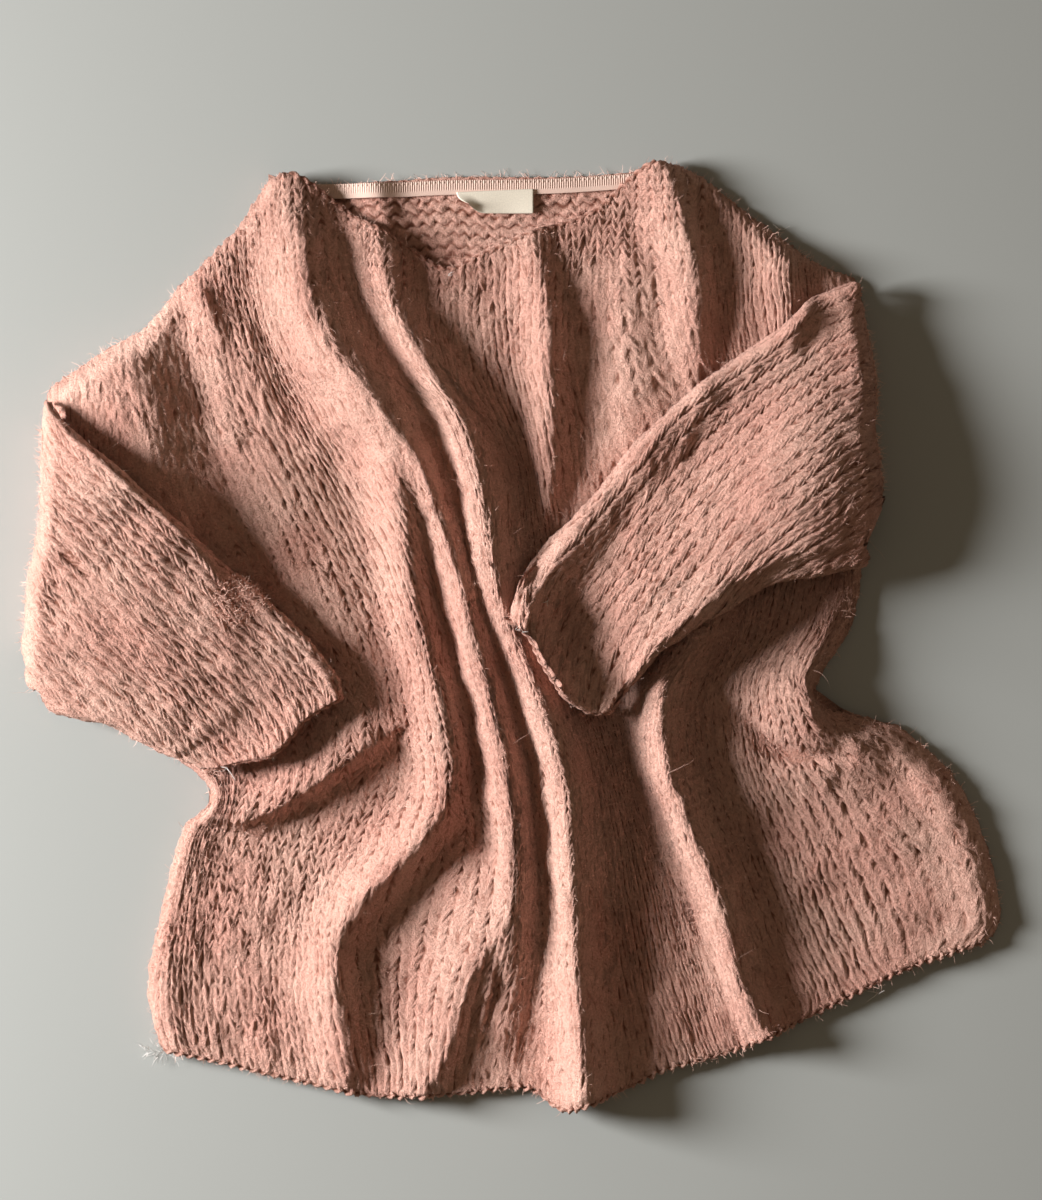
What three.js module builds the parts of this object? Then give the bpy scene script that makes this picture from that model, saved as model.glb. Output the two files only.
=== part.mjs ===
// Darned sweater in a bulky brushed knit, laid flat with both sleeves folded over its front.
// Millimetres, +Z up, +Y towards the neck, +X to the right for someone looking down on the front.
// The origin is the middle of the garment's outline, on the surface that it lies on.
// The back lies flat, the front lies on it in long soft folds, and each sleeve is a flattened
// tube that starts at its outer fold and lies on the front. "Left" and "right" are the viewer's.

import * as THREE from 'three';

// ---- Driving dimensions ----
const CLOTH = 5; // wall of the knit
const GAP = 0.3; // clearance at seams and between layers
const BACK_TOP = CLOTH;
const FRONT_UNDER = BACK_TOP + GAP;
const FRONT_TOP = FRONT_UNDER + CLOTH; // where the front lies flat on the back
const MAX_WALL_HEIGHT = 11; // tallest upright cut through the wall on a steep flank
const EDGE_ROLL = 20; // folds die away over this distance from a sewn edge

const FRONT_WIDTH = 690; // what shows of the front, measured on the cloth
const FRONT_COLUMNS = 56;
const FRONT_ROWS = 25;

const SLEEVE_SLIT = 1; // hollow left between a sleeve's two layers
const SLEEVE_LIFT = 2; // clearance of a sleeve over the front's folds
const SLEEVE_REACH = 10; // a sleeve rides on the highest cloth within this distance
const SLEEVE_DROOP = 34; // run over which a sleeve falls to the floor past the front's edge
const SLEEVE_CROWN = 5; // how much the upper layer stands off the lower in mid width
const CURL_RADIUS = 15; // outer fold of a sleeve, where its upper layer turns down to the floor
const CURL_RIM = 0.6; // height of that layer's edge over the floor
const CURL_INSET = 6.4; // the lower layer's edge stays this far inside the outer fold
const CURL_START = 0.09; // part of the outer fold, at each end, where the layer isn't turned down
const CURL_BLEND = 0.12;

const TAPE_WIDTH = 10;
const TAPE_THICKNESS = 1;
const LABEL_THICKNESS = 0.8;

// ---- The front: wales, each at its place on the cloth's width, from the top edge to the hem ----
const FRONT_WALES = [
  { cut: 0, line: [[-349, 184], [-345, 150], [-345, 110], [-351, 60], [-350, 0], [-335, -40], [-290, -75],
    [-242, -100], [-224, -124], [-247, -147], [-262, -205], [-273, -265], [-264, -311]] },
  { cut: 60, line: [[-300, 217], [-292, 150], [-285, 90], [-270, 30], [-245, -30], [-215, -75], [-205, -115],
    [-215, -160], [-222, -210], [-226, -260], [-215, -321]] },
  { cut: 90, line: [[-275, 231], [-264, 175], [-252, 115], [-235, 55], [-210, 2], [-180, -50], [-172, -100],
    [-182, -140], [-192, -195], [-198, -250], [-188, -328]] },
  { cut: 120, line: [[-249, 262], [-240, 200], [-225, 140], [-200, 80], [-175, 25], [-150, -25], [-140, -75],
    [-150, -120], [-162, -170], [-170, -220], [-170, -270], [-160, -334]] },
  { cut: 175, line: [[-209, 302], [-202, 250], [-185, 195], [-160, 140], [-132, 85], [-110, 35], [-92, -15],
    [-82, -60], [-80, -105], [-92, -145], [-110, -185], [-118, -230], [-115, -280], [-105, -345]] },
  { cut: 230, line: [[-172, 346], [-170, 300], [-166, 260], [-157, 225], [-142, 198], [-122, 168], [-102, 138],
    [-84, 105], [-68, 70], [-57, 38], [-47, 5], [-38, -28], [-28, -65], [-19, -100], [-12, -135],
    [-12, -170], [-16, -205], [-24, -245], [-34, -290], [-42, -344]] },
  { cut: 285, line: [[-117, 312], [-112, 265], [-100, 235], [-85, 195], [-62, 173], [-45, 145], [-35, 100],
    [-25, 50], [-18, 0], [-5, -50], [10, -110], [18, -160], [22, -215], [22, -265], [14, -340]] },
  { cut: 310, line: [[-100, 304], [-103, 275], [-94, 248], [-82, 215], [-66, 192], [-49, 170], [-36, 140],
    [-25, 105], [-18, 70], [-13, 35], [-7, 0], [3, -30], [14, -65], [23, -100], [29, -140], [33, -180],
    [36, -220], [37, -260], [38, -300], [38, -355]] },
  { cut: 335, line: [[-78, 289], [-72, 250], [-62, 215], [-45, 185], [-25, 150], [-12, 110], [-6, 70],
    [-2, 35], [5, 0], [18, -35], [32, -70], [42, -110], [48, -150], [52, -200], [54, -250], [60, -349]] },
  { cut: 365, line: [[-48, 274], [-47, 230], [-38, 190], [-10, 150], [4, 110], [8, 70], [12, 40], [20, 0],
    [40, -50], [55, -100], [62, -150], [68, -200], [74, -250], [88, -339]] },
  { cut: 395, line: [[-20, 286], [-18, 240], [-8, 190], [10, 140], [18, 90], [25, 40], [38, 0], [55, -50],
    [68, -100], [77, -150], [85, -200], [95, -250], [115, -326]] },
  { cut: 430, line: [[15, 301], [15, 250], [18, 200], [28, 150], [35, 100], [45, 50], [60, 0], [74, -50],
    [84, -100], [95, -150], [107, -200], [118, -250], [142, -319]] },
  { cut: 475, line: [[60, 316], [58, 250], [62, 200], [70, 150], [78, 100], [85, 50], [90, 0], [92, -50],
    [98, -100], [112, -150], [128, -200], [143, -250], [165, -312]] },
  { cut: 530, line: [[115, 355], [116, 300], [122, 250], [135, 200], [148, 150], [150, 100], [148, 50],
    [138, 0], [112, -45], [110, -90], [122, -140], [140, -190], [158, -240], [180, -306]] },
  { cut: 605, line: [[186, 311], [188, 260], [195, 200], [200, 150], [198, 100], [192, 50], [180, 0],
    [165, -40], [168, -90], [185, -140], [205, -190], [225, -240], [240, -278]] },
  { cut: 650, line: [[226, 281], [230, 230], [235, 180], [238, 120], [236, 60], [225, 10], [205, -30],
    [215, -75], [245, -120], [270, -170], [290, -220], [300, -249]] },
  { cut: 690, line: [[260, 268], [265, 200], [267, 150], [270, 110], [263, 45], [255, 5], [232, -32],
    [234, -52], [290, -70], [333, -108], [357, -158], [368, -208], [360, -229]] },
];

// ---- Creases: crests with a height at each point, and their reach to either side ----
// "port" is the reach to the left of someone who walks along the crest, "starboard" to the right.
const FRONT_FOLDS = [
  { name: 'upper left fold', port: 26, starboard: 27, crest: [[-170, 344, 10], [-165, 315, 18],
    [-160, 288, 26], [-154, 262, 30], [-147, 240, 31], [-136, 218, 34], [-121, 197, 35], [-104, 176, 34],
    [-88, 158, 25], [-76, 145, 12]] },
  { name: 'long left fold', port: 13, starboard: 17, crest: [[-136, 218, 4], [-121, 197, 11],
    [-100, 172, 20], [-80, 148, 27], [-66, 122, 28], [-56, 95, 28], [-47, 66, 28], [-38, 38, 28],
    [-31, 12, 29], [-24, -15, 30], [-16, -45, 31], [-9, -75, 31], [-3, -105, 31], [0, -135, 30],
    [2, -165, 28], [2, -200, 25], [0, -230, 18], [-1, -260, 10], [-3, -290, 6]] },
  { name: 'lower left fold', port: 14, starboard: 20, crest: [[-112, 178, 7], [-100, 158, 16],
    [-91, 135, 23], [-84, 110, 26], [-80, 85, 26], [-77, 55, 25], [-73, 25, 25], [-66, -2, 25],
    [-59, -27, 25], [-53, -50, 26], [-49, -75, 26], [-47, -100, 26], [-50, -124, 25], [-63, -148, 30],
    [-85, -172, 28], [-111, -198, 25], [-127, -225, 22], [-132, -255, 20], [-127, -290, 14],
    [-122, -325, 10]] },
  { name: 'saddle between the left folds', port: 12, starboard: 12, crest: [[-92, 160, 14], [-82, 135, 17],
    [-73, 112, 17], [-66, 88, 14], [-60, 65, 8]] },
  { name: 'middle fold', port: 17, starboard: 18, crest: [[-102, 303, 9], [-98, 278, 15], [-90, 252, 19],
    [-78, 226, 24], [-64, 202, 26], [-49, 176, 28], [-35, 150, 30], [-26, 122, 32], [-20, 95, 32],
    [-16, 70, 32], [-13, 48, 32], [-8, 24, 32], [2, 0, 32], [12, -25, 33], [21, -50, 35], [30, -75, 36],
    [37, -100, 36], [42, -128, 36], [45, -165, 35], [46, -200, 33], [48, -235, 32], [50, -268, 32],
    [52, -300, 31], [55, -345, 30]] },
  { name: 'short hem fold', port: 9, starboard: 28, crest: [[-8, -222, 16], [-27, -248, 18],
    [-36, -273, 17], [-44, -300, 16], [-57, -332, 13]] },
  { name: 'lower right fold', port: 15, starboard: 15, crest: [[152, 18, 9], [138, 2, 15], [124, -15, 22],
    [115, -35, 28], [112, -55, 30], [113, -78, 31], [118, -105, 31], [128, -132, 30], [139, -158, 29],
    [149, -182, 28], [158, -208, 26], [165, -235, 24], [173, -262, 22], [183, -285, 20], [192, -300, 18]] },
  { name: 'chest fold below the neck', port: 11, starboard: 16, crest: [[17, 300, 7], [21, 277, 12],
    [25, 252, 16], [27, 226, 17], [28, 200, 17], [30, 175, 16], [30, 150, 14], [30, 125, 12],
    [28, 100, 8]] },
  { name: 'faint chest fold', port: 30, starboard: 16, crest: [[84, 262, 5], [86, 236, 7], [88, 210, 7],
    [90, 182, 7], [90, 150, 5]] },
  { name: 'fold from the right neck corner', port: 11, starboard: 22, crest: [[115, 347, 11],
    [123, 326, 15], [131, 301, 18], [137, 276, 18], [139, 250, 16], [139, 226, 14], [141, 205, 9]] },
  { name: 'right shoulder fold', port: 10, starboard: 20, crest: [[194, 306, 6], [203, 286, 12],
    [207, 262, 13], [209, 240, 9]] },
  { name: 'right waist fold', port: 9, starboard: 12, crest: [[250, -12, 6], [240, -20, 12],
    [233, -28, 15]] },
  { name: 'right waist bulge', port: 9, starboard: 40, crest: [[232, -30, 20], [224, -48, 23],
    [226, -64, 23], [238, -76, 19], [254, -81, 14]] },
  { name: 'right hip rim', port: 8, starboard: 15, crest: [[256, -82, 13], [279, -78, 16], [304, -90, 20],
    [327, -113, 20], [344, -144, 20], [356, -181, 18], [361, -212, 13]] },
  { name: 'left hip rim', port: 26, starboard: 8, crest: [[-243, -150, 3], [-253, -178, 4], [-259, -215, 4],
    [-263, -250, 4], [-259, -285, 4]] },
  { name: 'left shoulder pucker', port: 9, starboard: 12, crest: [[-240, 270, 7], [-232, 252, 11],
    [-224, 235, 10], [-217, 218, 6]] },
  { name: 'left shoulder crest', port: 32, starboard: 80, crest: [[-292, 218, 15], [-286, 190, 23],
    [-278, 165, 26], [-268, 138, 24], [-254, 108, 15]] },
  { name: 'left chest rise', port: 45, starboard: 22, crest: [[-222, 225, 5], [-212, 185, 7],
    [-206, 145, 7], [-188, 100, 7], [-160, 50, 6], [-132, 5, 5], [-112, -30, 4]] },
  { name: 'pleat under the left cuff', port: 30, starboard: 6, crest: [[-226, -136, 12], [-205, -139, 15],
    [-180, -132, 17], [-155, -117, 18], [-130, -100, 18], [-108, -84, 15], [-94, -76, 8]] },
  { name: 'foot of the long fold', port: 22, starboard: 52, crest: [[0, -160, 8], [-2, -185, 16],
    [-4, -212, 20], [-9, -238, 17]] },
];

// ---- The back's top edge between the two neck corners ----
const BACK_NECK = [[-172, 346], [-150, 338], [-100, 342], [-50, 346], [0, 346], [50, 347], [100, 352], [115, 355]];

// ---- The sleeves: upper and lower folded edges from root to cuff, outer fold and cuff ----
const SLEEVES = [
  {
    name: 'left_sleeve',
    upper: [[-347, 176], [-336, 162], [-321, 147], [-294, 127], [-275, 108], [-250, 85], [-220, 58],
      [-190, 33], [-165, 10], [-150, -5], [-132, -30], [-126, -47]],
    lower: [[-366, -38], [-345, -58], [-300, -68], [-270, -82], [-240, -95], [-226, -101]],
    root: [[-347, 176], [-352, 158], [-352, 130], [-355, 80], [-362, 40], [-365, 10], [-368, -18],
      [-366, -38]],
    cuff: [[-126, -47], [-150, -60], [-165, -77], [-180, -90], [-205, -95], [-226, -101]],
    folds: [
      { name: 'puffed upper edge', port: 9, starboard: 210, crest: [[-344, 162, 9], [-321, 142, 14],
        [-292, 119, 17], [-262, 91, 17], [-230, 61, 16], [-200, 36, 14], [-172, 12, 12], [-148, -12, 9],
        [-134, -34, 6]] },
      { name: 'soft outer ridge', port: 16, starboard: 22, crest: [[-262, 60, 4], [-262, 20, 6],
        [-256, -20, 6], [-250, -60, 5]] },
      { name: 'soft cuff ridge', port: 14, starboard: 18, crest: [[-204, 25, 3], [-207, -10, 5],
        [-210, -45, 5], [-212, -75, 3]] },
    ],
  },
  {
    name: 'right_sleeve',
    upper: [[262, 265], [240, 257], [225, 250], [200, 228], [170, 207], [140, 185], [110, 160], [85, 133],
      [65, 108], [45, 85], [25, 65], [8, 42], [0, 15], [2, 8]],
    lower: [[270, 52], [250, 48], [220, 43], [190, 35], [162, 18], [138, 5], [112, -12], [92, -35],
      [76, -57]],
    root: [[262, 265], [271, 210], [275, 175], [273, 150], [279, 115], [278, 85], [270, 52]],
    cuff: [[2, 8], [13, 0], [22, -18], [38, -42], [50, -52], [62, -58], [76, -57]],
    folds: [
      { name: 'puffed upper edge', port: 17, starboard: 9, crest: [[246, 249, 5], [214, 230, 6],
        [179, 203, 6], [149, 180, 6], [117, 153, 6], [90, 124, 6], [65, 96, 7], [47, 73, 10], [34, 54, 14],
        [23, 36, 16], [15, 20, 15]] },
      { name: 'ridge inside the lower edge', port: 10, starboard: 45, crest: [[262, 70, 10], [236, 66, 18],
        [205, 60, 23], [174, 44, 25], [148, 26, 24], [121, 8, 22], [101, -10, 19], [87, -33, 14]] },
      { name: 'belly', port: 70, starboard: 54, crest: [[250, 215, 6], [244, 180, 14], [236, 148, 22],
        [226, 118, 28], [212, 92, 28], [194, 68, 22]] },
      { name: 'pucker by the upper edge', port: 9, starboard: 16, crest: [[182, 196, 3], [178, 184, 5],
        [173, 172, 3]] },
      { name: 'second pucker', port: 9, starboard: 16, crest: [[138, 168, 4], [132, 153, 7],
        [127, 138, 4]] },
    ],
  },
];
const SLEEVE_STATIONS = [0, 1.5, 4.5, 9, 16]; // rings near the root, by distance from the outer fold
const SLEEVE_RINGS = 10; // further rings, to the cuff
const SLEEVE_EDGE = [0, 1.5, 4.5]; // points near a folded edge, by distance from it
const SLEEVE_ACROSS = 8; // further spaces across a layer

// ---- Tape and label inside the back neck ----
const TAPE_LINE = [[-138, 333.5], [-100, 333.5], [-50, 336], [0, 336.5], [40, 337], [78, 339]];
const LABEL_OUTLINE = [[-42, 331], [16, 334], [17, 318], [5, 316], [-15, 316], [-30, 318], [-37, 321]];

// ---- Materials ----
const knit = (hex) => new THREE.MeshStandardMaterial({ color: hex, roughness: 0.95, metalness: 0 });
const cottonTape = new THREE.MeshStandardMaterial({ color: 0xe3c4b0, roughness: 0.85, metalness: 0 });
const labelSatin = new THREE.MeshStandardMaterial({ color: 0xeee3d6, roughness: 0.6, metalness: 0 });

// ---- Curves and small helpers ----
const lerp = THREE.MathUtils.lerp;
const smooth = (x, low, high) => THREE.MathUtils.smoothstep(x, low, high);

function curveThrough(points) {
  const vectors = points.map(([x, y, z = 0]) => new THREE.Vector3(x, y, z));
  const curve = new THREE.CatmullRomCurve3(vectors, false, 'catmullrom', 0.5);
  curve.arcLengthDivisions = points.length * 12;
  return curve;
}

// Smooth value at x through uneven knots, as a cubic in each space.
function through(knots, values, x) {
  const last = knots.length - 1;
  let k = 0;
  while (k < last - 1 && x > knots[k + 1]) {
    k += 1;
  }
  const slope = (i) => {
    const a = Math.max(i - 1, 0);
    const b = Math.min(i + 1, last);
    return (values[b] - values[a]) / (knots[b] - knots[a]);
  };
  const span = knots[k + 1] - knots[k];
  const t = (x - knots[k]) / span;
  const t2 = t * t;
  const t3 = t2 * t;
  return (2 * t3 - 3 * t2 + 1) * values[k] + (t3 - 2 * t2 + t) * span * slope(k)
    + (3 * t2 - 2 * t3) * values[k + 1] + (t3 - t2) * span * slope(k + 1);
}

// ---- Heights of the folded cloth ----
function crestOf(fold) {
  const curve = curveThrough(fold.crest);
  return { ...fold, path: curve.getPoints((fold.crest.length - 1) * 4) };
}

function heightOn(crest, x, y) {
  let nearest = Infinity;
  let height = 0;
  for (let i = 0; i < crest.path.length - 1; i += 1) {
    const a = crest.path[i];
    const b = crest.path[i + 1];
    const dx = b.x - a.x;
    const dy = b.y - a.y;
    const along = THREE.MathUtils.clamp(((x - a.x) * dx + (y - a.y) * dy) / (dx * dx + dy * dy), 0, 1);
    const px = x - a.x - along * dx;
    const py = y - a.y - along * dy;
    const distance = Math.hypot(px, py);
    if (distance < nearest) {
      nearest = distance;
      const reach = dx * py - dy * px > 0 ? crest.port : crest.starboard;
      height = lerp(a.z, b.z, along) * Math.exp(-((distance / reach) ** 2));
    }
  }
  return height;
}

// Folds that meet blend into one another instead of piling up.
function foldsAt(crests, x, y) {
  const sum = crests.reduce((total, crest) => total + heightOn(crest, x, y) ** 3, 0);
  return Math.cbrt(sum);
}

const frontCrests = FRONT_FOLDS.map(crestOf);
const frontHeight = (x, y) => FRONT_TOP + foldsAt(frontCrests, x, y);

// ---- Solids from grids of points ----
function solidFrom(points, triangles, name, material) {
  const positions = points.flatMap((p) => [p.x, p.y, p.z]);
  const volume = triangles.reduce((total, [a, b, c]) => {
    const cross = new THREE.Vector3().crossVectors(points[b], points[c]);
    return total + points[a].dot(cross);
  }, 0);
  const outward = volume > 0 ? triangles : triangles.map(([a, b, c]) => [a, c, b]);
  const geometry = new THREE.BufferGeometry();
  geometry.setAttribute('position', new THREE.Float32BufferAttribute(positions, 3));
  geometry.setIndex(outward.flat());
  geometry.computeVertexNormals();
  const mesh = new THREE.Mesh(geometry, material);
  mesh.name = name;
  return mesh;
}

const quad = (a, b, c, d) => [[a, b, c], [a, c, d]];

// A sheet with a top and an under face over the same grid, closed round its edge.
function sheetSolid(top, under, name, material) {
  const rows = top.length;
  const columns = top[0].length;
  const at = (i, j) => i * columns + j;
  const below = rows * columns;
  const triangles = [];
  for (let i = 0; i < rows - 1; i += 1) {
    for (let j = 0; j < columns - 1; j += 1) {
      const face = [at(i, j), at(i + 1, j), at(i + 1, j + 1), at(i, j + 1)];
      triangles.push(...quad(...face), ...quad(...face.map((v) => v + below).reverse()));
    }
  }
  const rim = [];
  for (let i = 0; i < rows - 1; i += 1) {
    rim.push(at(i, 0));
  }
  for (let j = 0; j < columns - 1; j += 1) {
    rim.push(at(rows - 1, j));
  }
  for (let i = rows - 1; i > 0; i -= 1) {
    rim.push(at(i, columns - 1));
  }
  for (let j = columns - 1; j > 0; j -= 1) {
    rim.push(at(0, j));
  }
  rim.forEach((a, k) => {
    const b = rim[(k + 1) % rim.length];
    triangles.push(...quad(a, a + below, b + below, b));
  });
  return solidFrom([...top.flat(), ...under.flat()], triangles, name, material);
}

// A tube with an outer and an inner skin, given ring by ring and open at both ends.
function tubeSolid(outer, inner, name, material) {
  const rings = outer.length;
  const around = outer[0].length;
  const at = (i, j) => i * around + (j % around);
  const inside = rings * around;
  const triangles = [];
  for (let i = 0; i < rings - 1; i += 1) {
    for (let j = 0; j < around; j += 1) {
      const face = [at(i, j), at(i + 1, j), at(i + 1, j + 1), at(i, j + 1)];
      triangles.push(...quad(...face), ...quad(...face.map((v) => v + inside).reverse()));
    }
  }
  for (let j = 0; j < around; j += 1) {
    triangles.push(...quad(at(0, j), at(0, j + 1), at(0, j + 1) + inside, at(0, j) + inside));
    const end = rings - 1;
    triangles.push(...quad(at(end, j + 1), at(end, j), at(end, j) + inside, at(end, j + 1) + inside));
  }
  return solidFrom([...outer.flat(), ...inner.flat()], triangles, name, material);
}

// A flat plate of any outline.
function plateSolid(outline, bottom, thickness, name, material) {
  const shape = new THREE.Shape(outline.map(([x, y]) => new THREE.Vector2(x, y)));
  const geometry = new THREE.ExtrudeGeometry(shape, { depth: thickness, bevelEnabled: false });
  geometry.translate(0, 0, bottom);
  const mesh = new THREE.Mesh(geometry, material);
  mesh.name = name;
  return mesh;
}

// ---- Front panel ----
const waleCurves = FRONT_WALES.map((wale) => curveThrough(wale.line));
const waleCuts = FRONT_WALES.map((wale) => wale.cut);

function frontRow(part) {
  const stations = waleCurves.map((curve) => curve.getPointAt(part));
  return (cut) => ({
    x: through(waleCuts, stations.map((p) => p.x), cut),
    y: through(waleCuts, stations.map((p) => p.y), cut),
  });
}

// The folds die away at the sides and the shoulders, which are joined to the back.
function foldShare(cut, part, length) {
  const sides = smooth(cut, 0, EDGE_ROLL) * smooth(FRONT_WIDTH - cut, 0, EDGE_ROLL);
  const overShoulder = cut < waleCuts[5] - EDGE_ROLL || cut > waleCuts[13] + EDGE_ROLL;
  return overShoulder ? sides * smooth(part * length, 0, EDGE_ROLL) : sides;
}

function frontPanel() {
  const top = [];
  const under = [];
  const slopeStep = 2;
  for (let i = 0; i <= FRONT_ROWS; i += 1) {
    const part = i / FRONT_ROWS;
    const place = frontRow(part);
    const topRow = [];
    const underRow = [];
    for (let j = 0; j <= FRONT_COLUMNS; j += 1) {
      const cut = (FRONT_WIDTH * j) / FRONT_COLUMNS;
      const { x, y } = place(cut);
      const share = foldShare(cut, part, FRONT_WIDTH);
      const lift = (frontHeight(x, y) - FRONT_TOP) * share;
      const across = (frontHeight(x + slopeStep, y) - frontHeight(x - slopeStep, y)) / (2 * slopeStep);
      const along = (frontHeight(x, y + slopeStep) - frontHeight(x, y - slopeStep)) / (2 * slopeStep);
      const steep = Math.hypot(1, across * share, along * share);
      const wall = Math.min(CLOTH * steep, MAX_WALL_HEIGHT);
      topRow.push(new THREE.Vector3(x, y, FRONT_TOP + lift));
      underRow.push(new THREE.Vector3(x, y, Math.max(FRONT_TOP + lift - wall, FRONT_UNDER)));
    }
    top.push(topRow);
    under.push(underRow);
  }
  return sheetSolid(top, under, 'front_panel', knit(0xe3a48c));
}

// ---- Outline shared by the front and the back ----
function bodyOutline() {
  const side = (curve) => curve.getSpacedPoints(30);
  const left = side(waleCurves[0]);
  const right = side(waleCurves[waleCurves.length - 1]).reverse();
  const hem = [];
  const shoulders = { left: [], right: [] };
  const ends = frontRow(1);
  const starts = frontRow(0);
  for (let cut = 12; cut < FRONT_WIDTH; cut += 12) {
    hem.push(ends(cut));
    if (cut < waleCuts[5]) {
      shoulders.left.push(starts(cut));
    }
    if (cut > waleCuts[13]) {
      shoulders.right.push(starts(cut));
    }
  }
  const neck = curveThrough(BACK_NECK).getPoints(21);
  const loop = [...left, ...hem, ...right, ...shoulders.right.reverse(), ...neck.reverse(),
    ...shoulders.left.reverse()];
  return loop.map((p) => [p.x, p.y]);
}

const outline = bodyOutline();

function backPanel() {
  return plateSolid(outline, 0, BACK_TOP, 'back_panel', knit(0xd99a82));
}

// ---- Sleeves ----
// Distance past the body's outline, 0 inside it.
function pastOutline(x, y) {
  let inside = false;
  let nearest = Infinity;
  outline.forEach(([ax, ay], k) => {
    const [bx, by] = outline[(k + 1) % outline.length];
    if ((ay > y) !== (by > y) && x < ((bx - ax) * (y - ay)) / (by - ay) + ax) {
      inside = !inside;
    }
    const dx = bx - ax;
    const dy = by - ay;
    const along = THREE.MathUtils.clamp(((x - ax) * dx + (y - ay) * dy) / (dx * dx + dy * dy), 0, 1);
    nearest = Math.min(nearest, Math.hypot(x - ax - along * dx, y - ay - along * dy));
  });
  return inside ? 0 : nearest;
}

// Highest cloth near a point, falling to the floor past the body's edge.
function supportAt(x, y) {
  let highest = 0;
  for (let k = 0; k < 9; k += 1) {
    const reach = k === 8 ? 0 : SLEEVE_REACH;
    const sx = x + reach * Math.cos((k * Math.PI) / 4);
    const sy = y + reach * Math.sin((k * Math.PI) / 4);
    highest = Math.max(highest, frontHeight(sx, sy));
  }
  return highest * (1 - smooth(pastOutline(x, y), 0, SLEEVE_DROOP));
}

// Plan of a sleeve between its four edges.
function sleevePlan(sleeve) {
  const [upper, lower, root, cuff] = [sleeve.upper, sleeve.lower, sleeve.root, sleeve.cuff].map(curveThrough);
  const corner = (curve, end) => curve.getPointAt(end);
  return (q, t) => {
    const a = upper.getPointAt(t);
    const b = lower.getPointAt(t);
    const c = root.getPointAt(q);
    const d = cuff.getPointAt(q);
    const mix = (axis) => (1 - q) * a[axis] + q * b[axis] + (1 - t) * c[axis] + t * d[axis]
      - (1 - t) * ((1 - q) * corner(root, 0)[axis] + q * corner(root, 1)[axis])
      - t * ((1 - q) * corner(cuff, 0)[axis] + q * corner(cuff, 1)[axis]);
    return { x: mix('x'), y: mix('y') };
  };
}

function sleeveAcross(width) {
  const near = SLEEVE_EDGE.map((d) => d / width);
  const first = near[near.length - 1];
  const middle = [];
  for (let k = 1; k < SLEEVE_ACROSS; k += 1) {
    middle.push(lerp(first, 1 - first, k / SLEEVE_ACROSS));
  }
  return [...near, ...middle, ...near.map((q) => 1 - q).reverse()];
}

const quarterRound = (share) => Math.sqrt(1 - (1 - THREE.MathUtils.clamp(share, 0, 1)) ** 2);

function sleeveTube(sleeve) {
  const plan = sleevePlan(sleeve);
  const crests = sleeve.folds.map(crestOf);
  const length = curveThrough(sleeve.upper).getLength();
  const half = CLOTH + SLEEVE_SLIT / 2;
  const nearRoot = SLEEVE_STATIONS.map((d) => d / length);
  const start = nearRoot[nearRoot.length - 1];
  const stations = [...nearRoot];
  for (let k = 1; k <= SLEEVE_RINGS; k += 1) {
    stations.push(lerp(start, 1, k / SLEEVE_RINGS));
  }
  const outer = [];
  const inner = [];
  stations.forEach((t) => {
    const edge = plan(0, t);
    const width = Math.hypot(plan(1, t).x - edge.x, plan(1, t).y - edge.y);
    const fromRoot = t * length;
    const outerUpper = [];
    const outerLower = [];
    const innerUpper = [];
    const innerLower = [];
    sleeveAcross(width).forEach((q) => {
      const curl = smooth(Math.min(q, 1 - q), CURL_START, CURL_START + CURL_BLEND);
      const place = plan(q, t);
      const tucked = Math.max(fromRoot, lerp(fromRoot, CURL_INSET + fromRoot * 0.3, curl));
      const under = plan(q, tucked / length);
      const walled = plan(lerp(CLOTH / width, 1 - CLOTH / width, q), tucked / length);
      const middle = supportAt(under.x, under.y) + SLEEVE_LIFT + half;
      const crown = SLEEVE_CROWN * Math.sin(Math.PI * q) + foldsAt(crests, place.x, place.y);
      const rounded = quarterRound((Math.min(q, 1 - q) * width) / half);
      const turn = lerp(1, quarterRound(fromRoot / CURL_RADIUS), curl);
      const topZ = lerp(CURL_RIM, middle + half * rounded + crown, turn);
      outerUpper.push(new THREE.Vector3(place.x, place.y, topZ));
      outerLower.push(new THREE.Vector3(under.x, under.y, middle - half * rounded));
      const innerTurn = lerp(1, quarterRound((fromRoot * 0.75) / (CURL_RADIUS - CLOTH)), curl);
      const insideTop = lerp(CURL_RIM, middle + SLEEVE_SLIT / 2 + crown, innerTurn);
      const wallPlace = plan(lerp(CLOTH / width, 1 - CLOTH / width, q),
        Math.max(fromRoot, lerp(fromRoot, CLOTH + fromRoot * 0.6, curl)) / length);
      innerUpper.push(new THREE.Vector3(wallPlace.x, wallPlace.y, insideTop));
      innerLower.push(new THREE.Vector3(walled.x, walled.y, middle - SLEEVE_SLIT / 2));
    });
    outer.push([...outerUpper, ...outerLower.slice(1, -1).reverse()]);
    inner.push([...innerUpper, ...innerLower.slice(1, -1).reverse()]);
  });
  return tubeSolid(outer, inner, sleeve.name, knit(sleeve.name === 'left_sleeve' ? 0xe8ab94 : 0xdc9c85));
}

// ---- Tape and label ----
function tapeOutline() {
  const middle = curveThrough(TAPE_LINE).getSpacedPoints(20);
  const upper = middle.map((p) => [p.x, p.y + TAPE_WIDTH / 2]);
  const lower = middle.map((p) => [p.x, p.y - TAPE_WIDTH / 2]);
  return [...lower, ...upper.reverse()];
}

function neckTape() {
  return plateSolid(tapeOutline(), BACK_TOP + GAP, TAPE_THICKNESS, 'neck_tape', cottonTape);
}

function label() {
  const bottom = BACK_TOP + GAP + TAPE_THICKNESS + GAP;
  return plateSolid(LABEL_OUTLINE, bottom, LABEL_THICKNESS, 'label', labelSatin);
}

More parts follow.
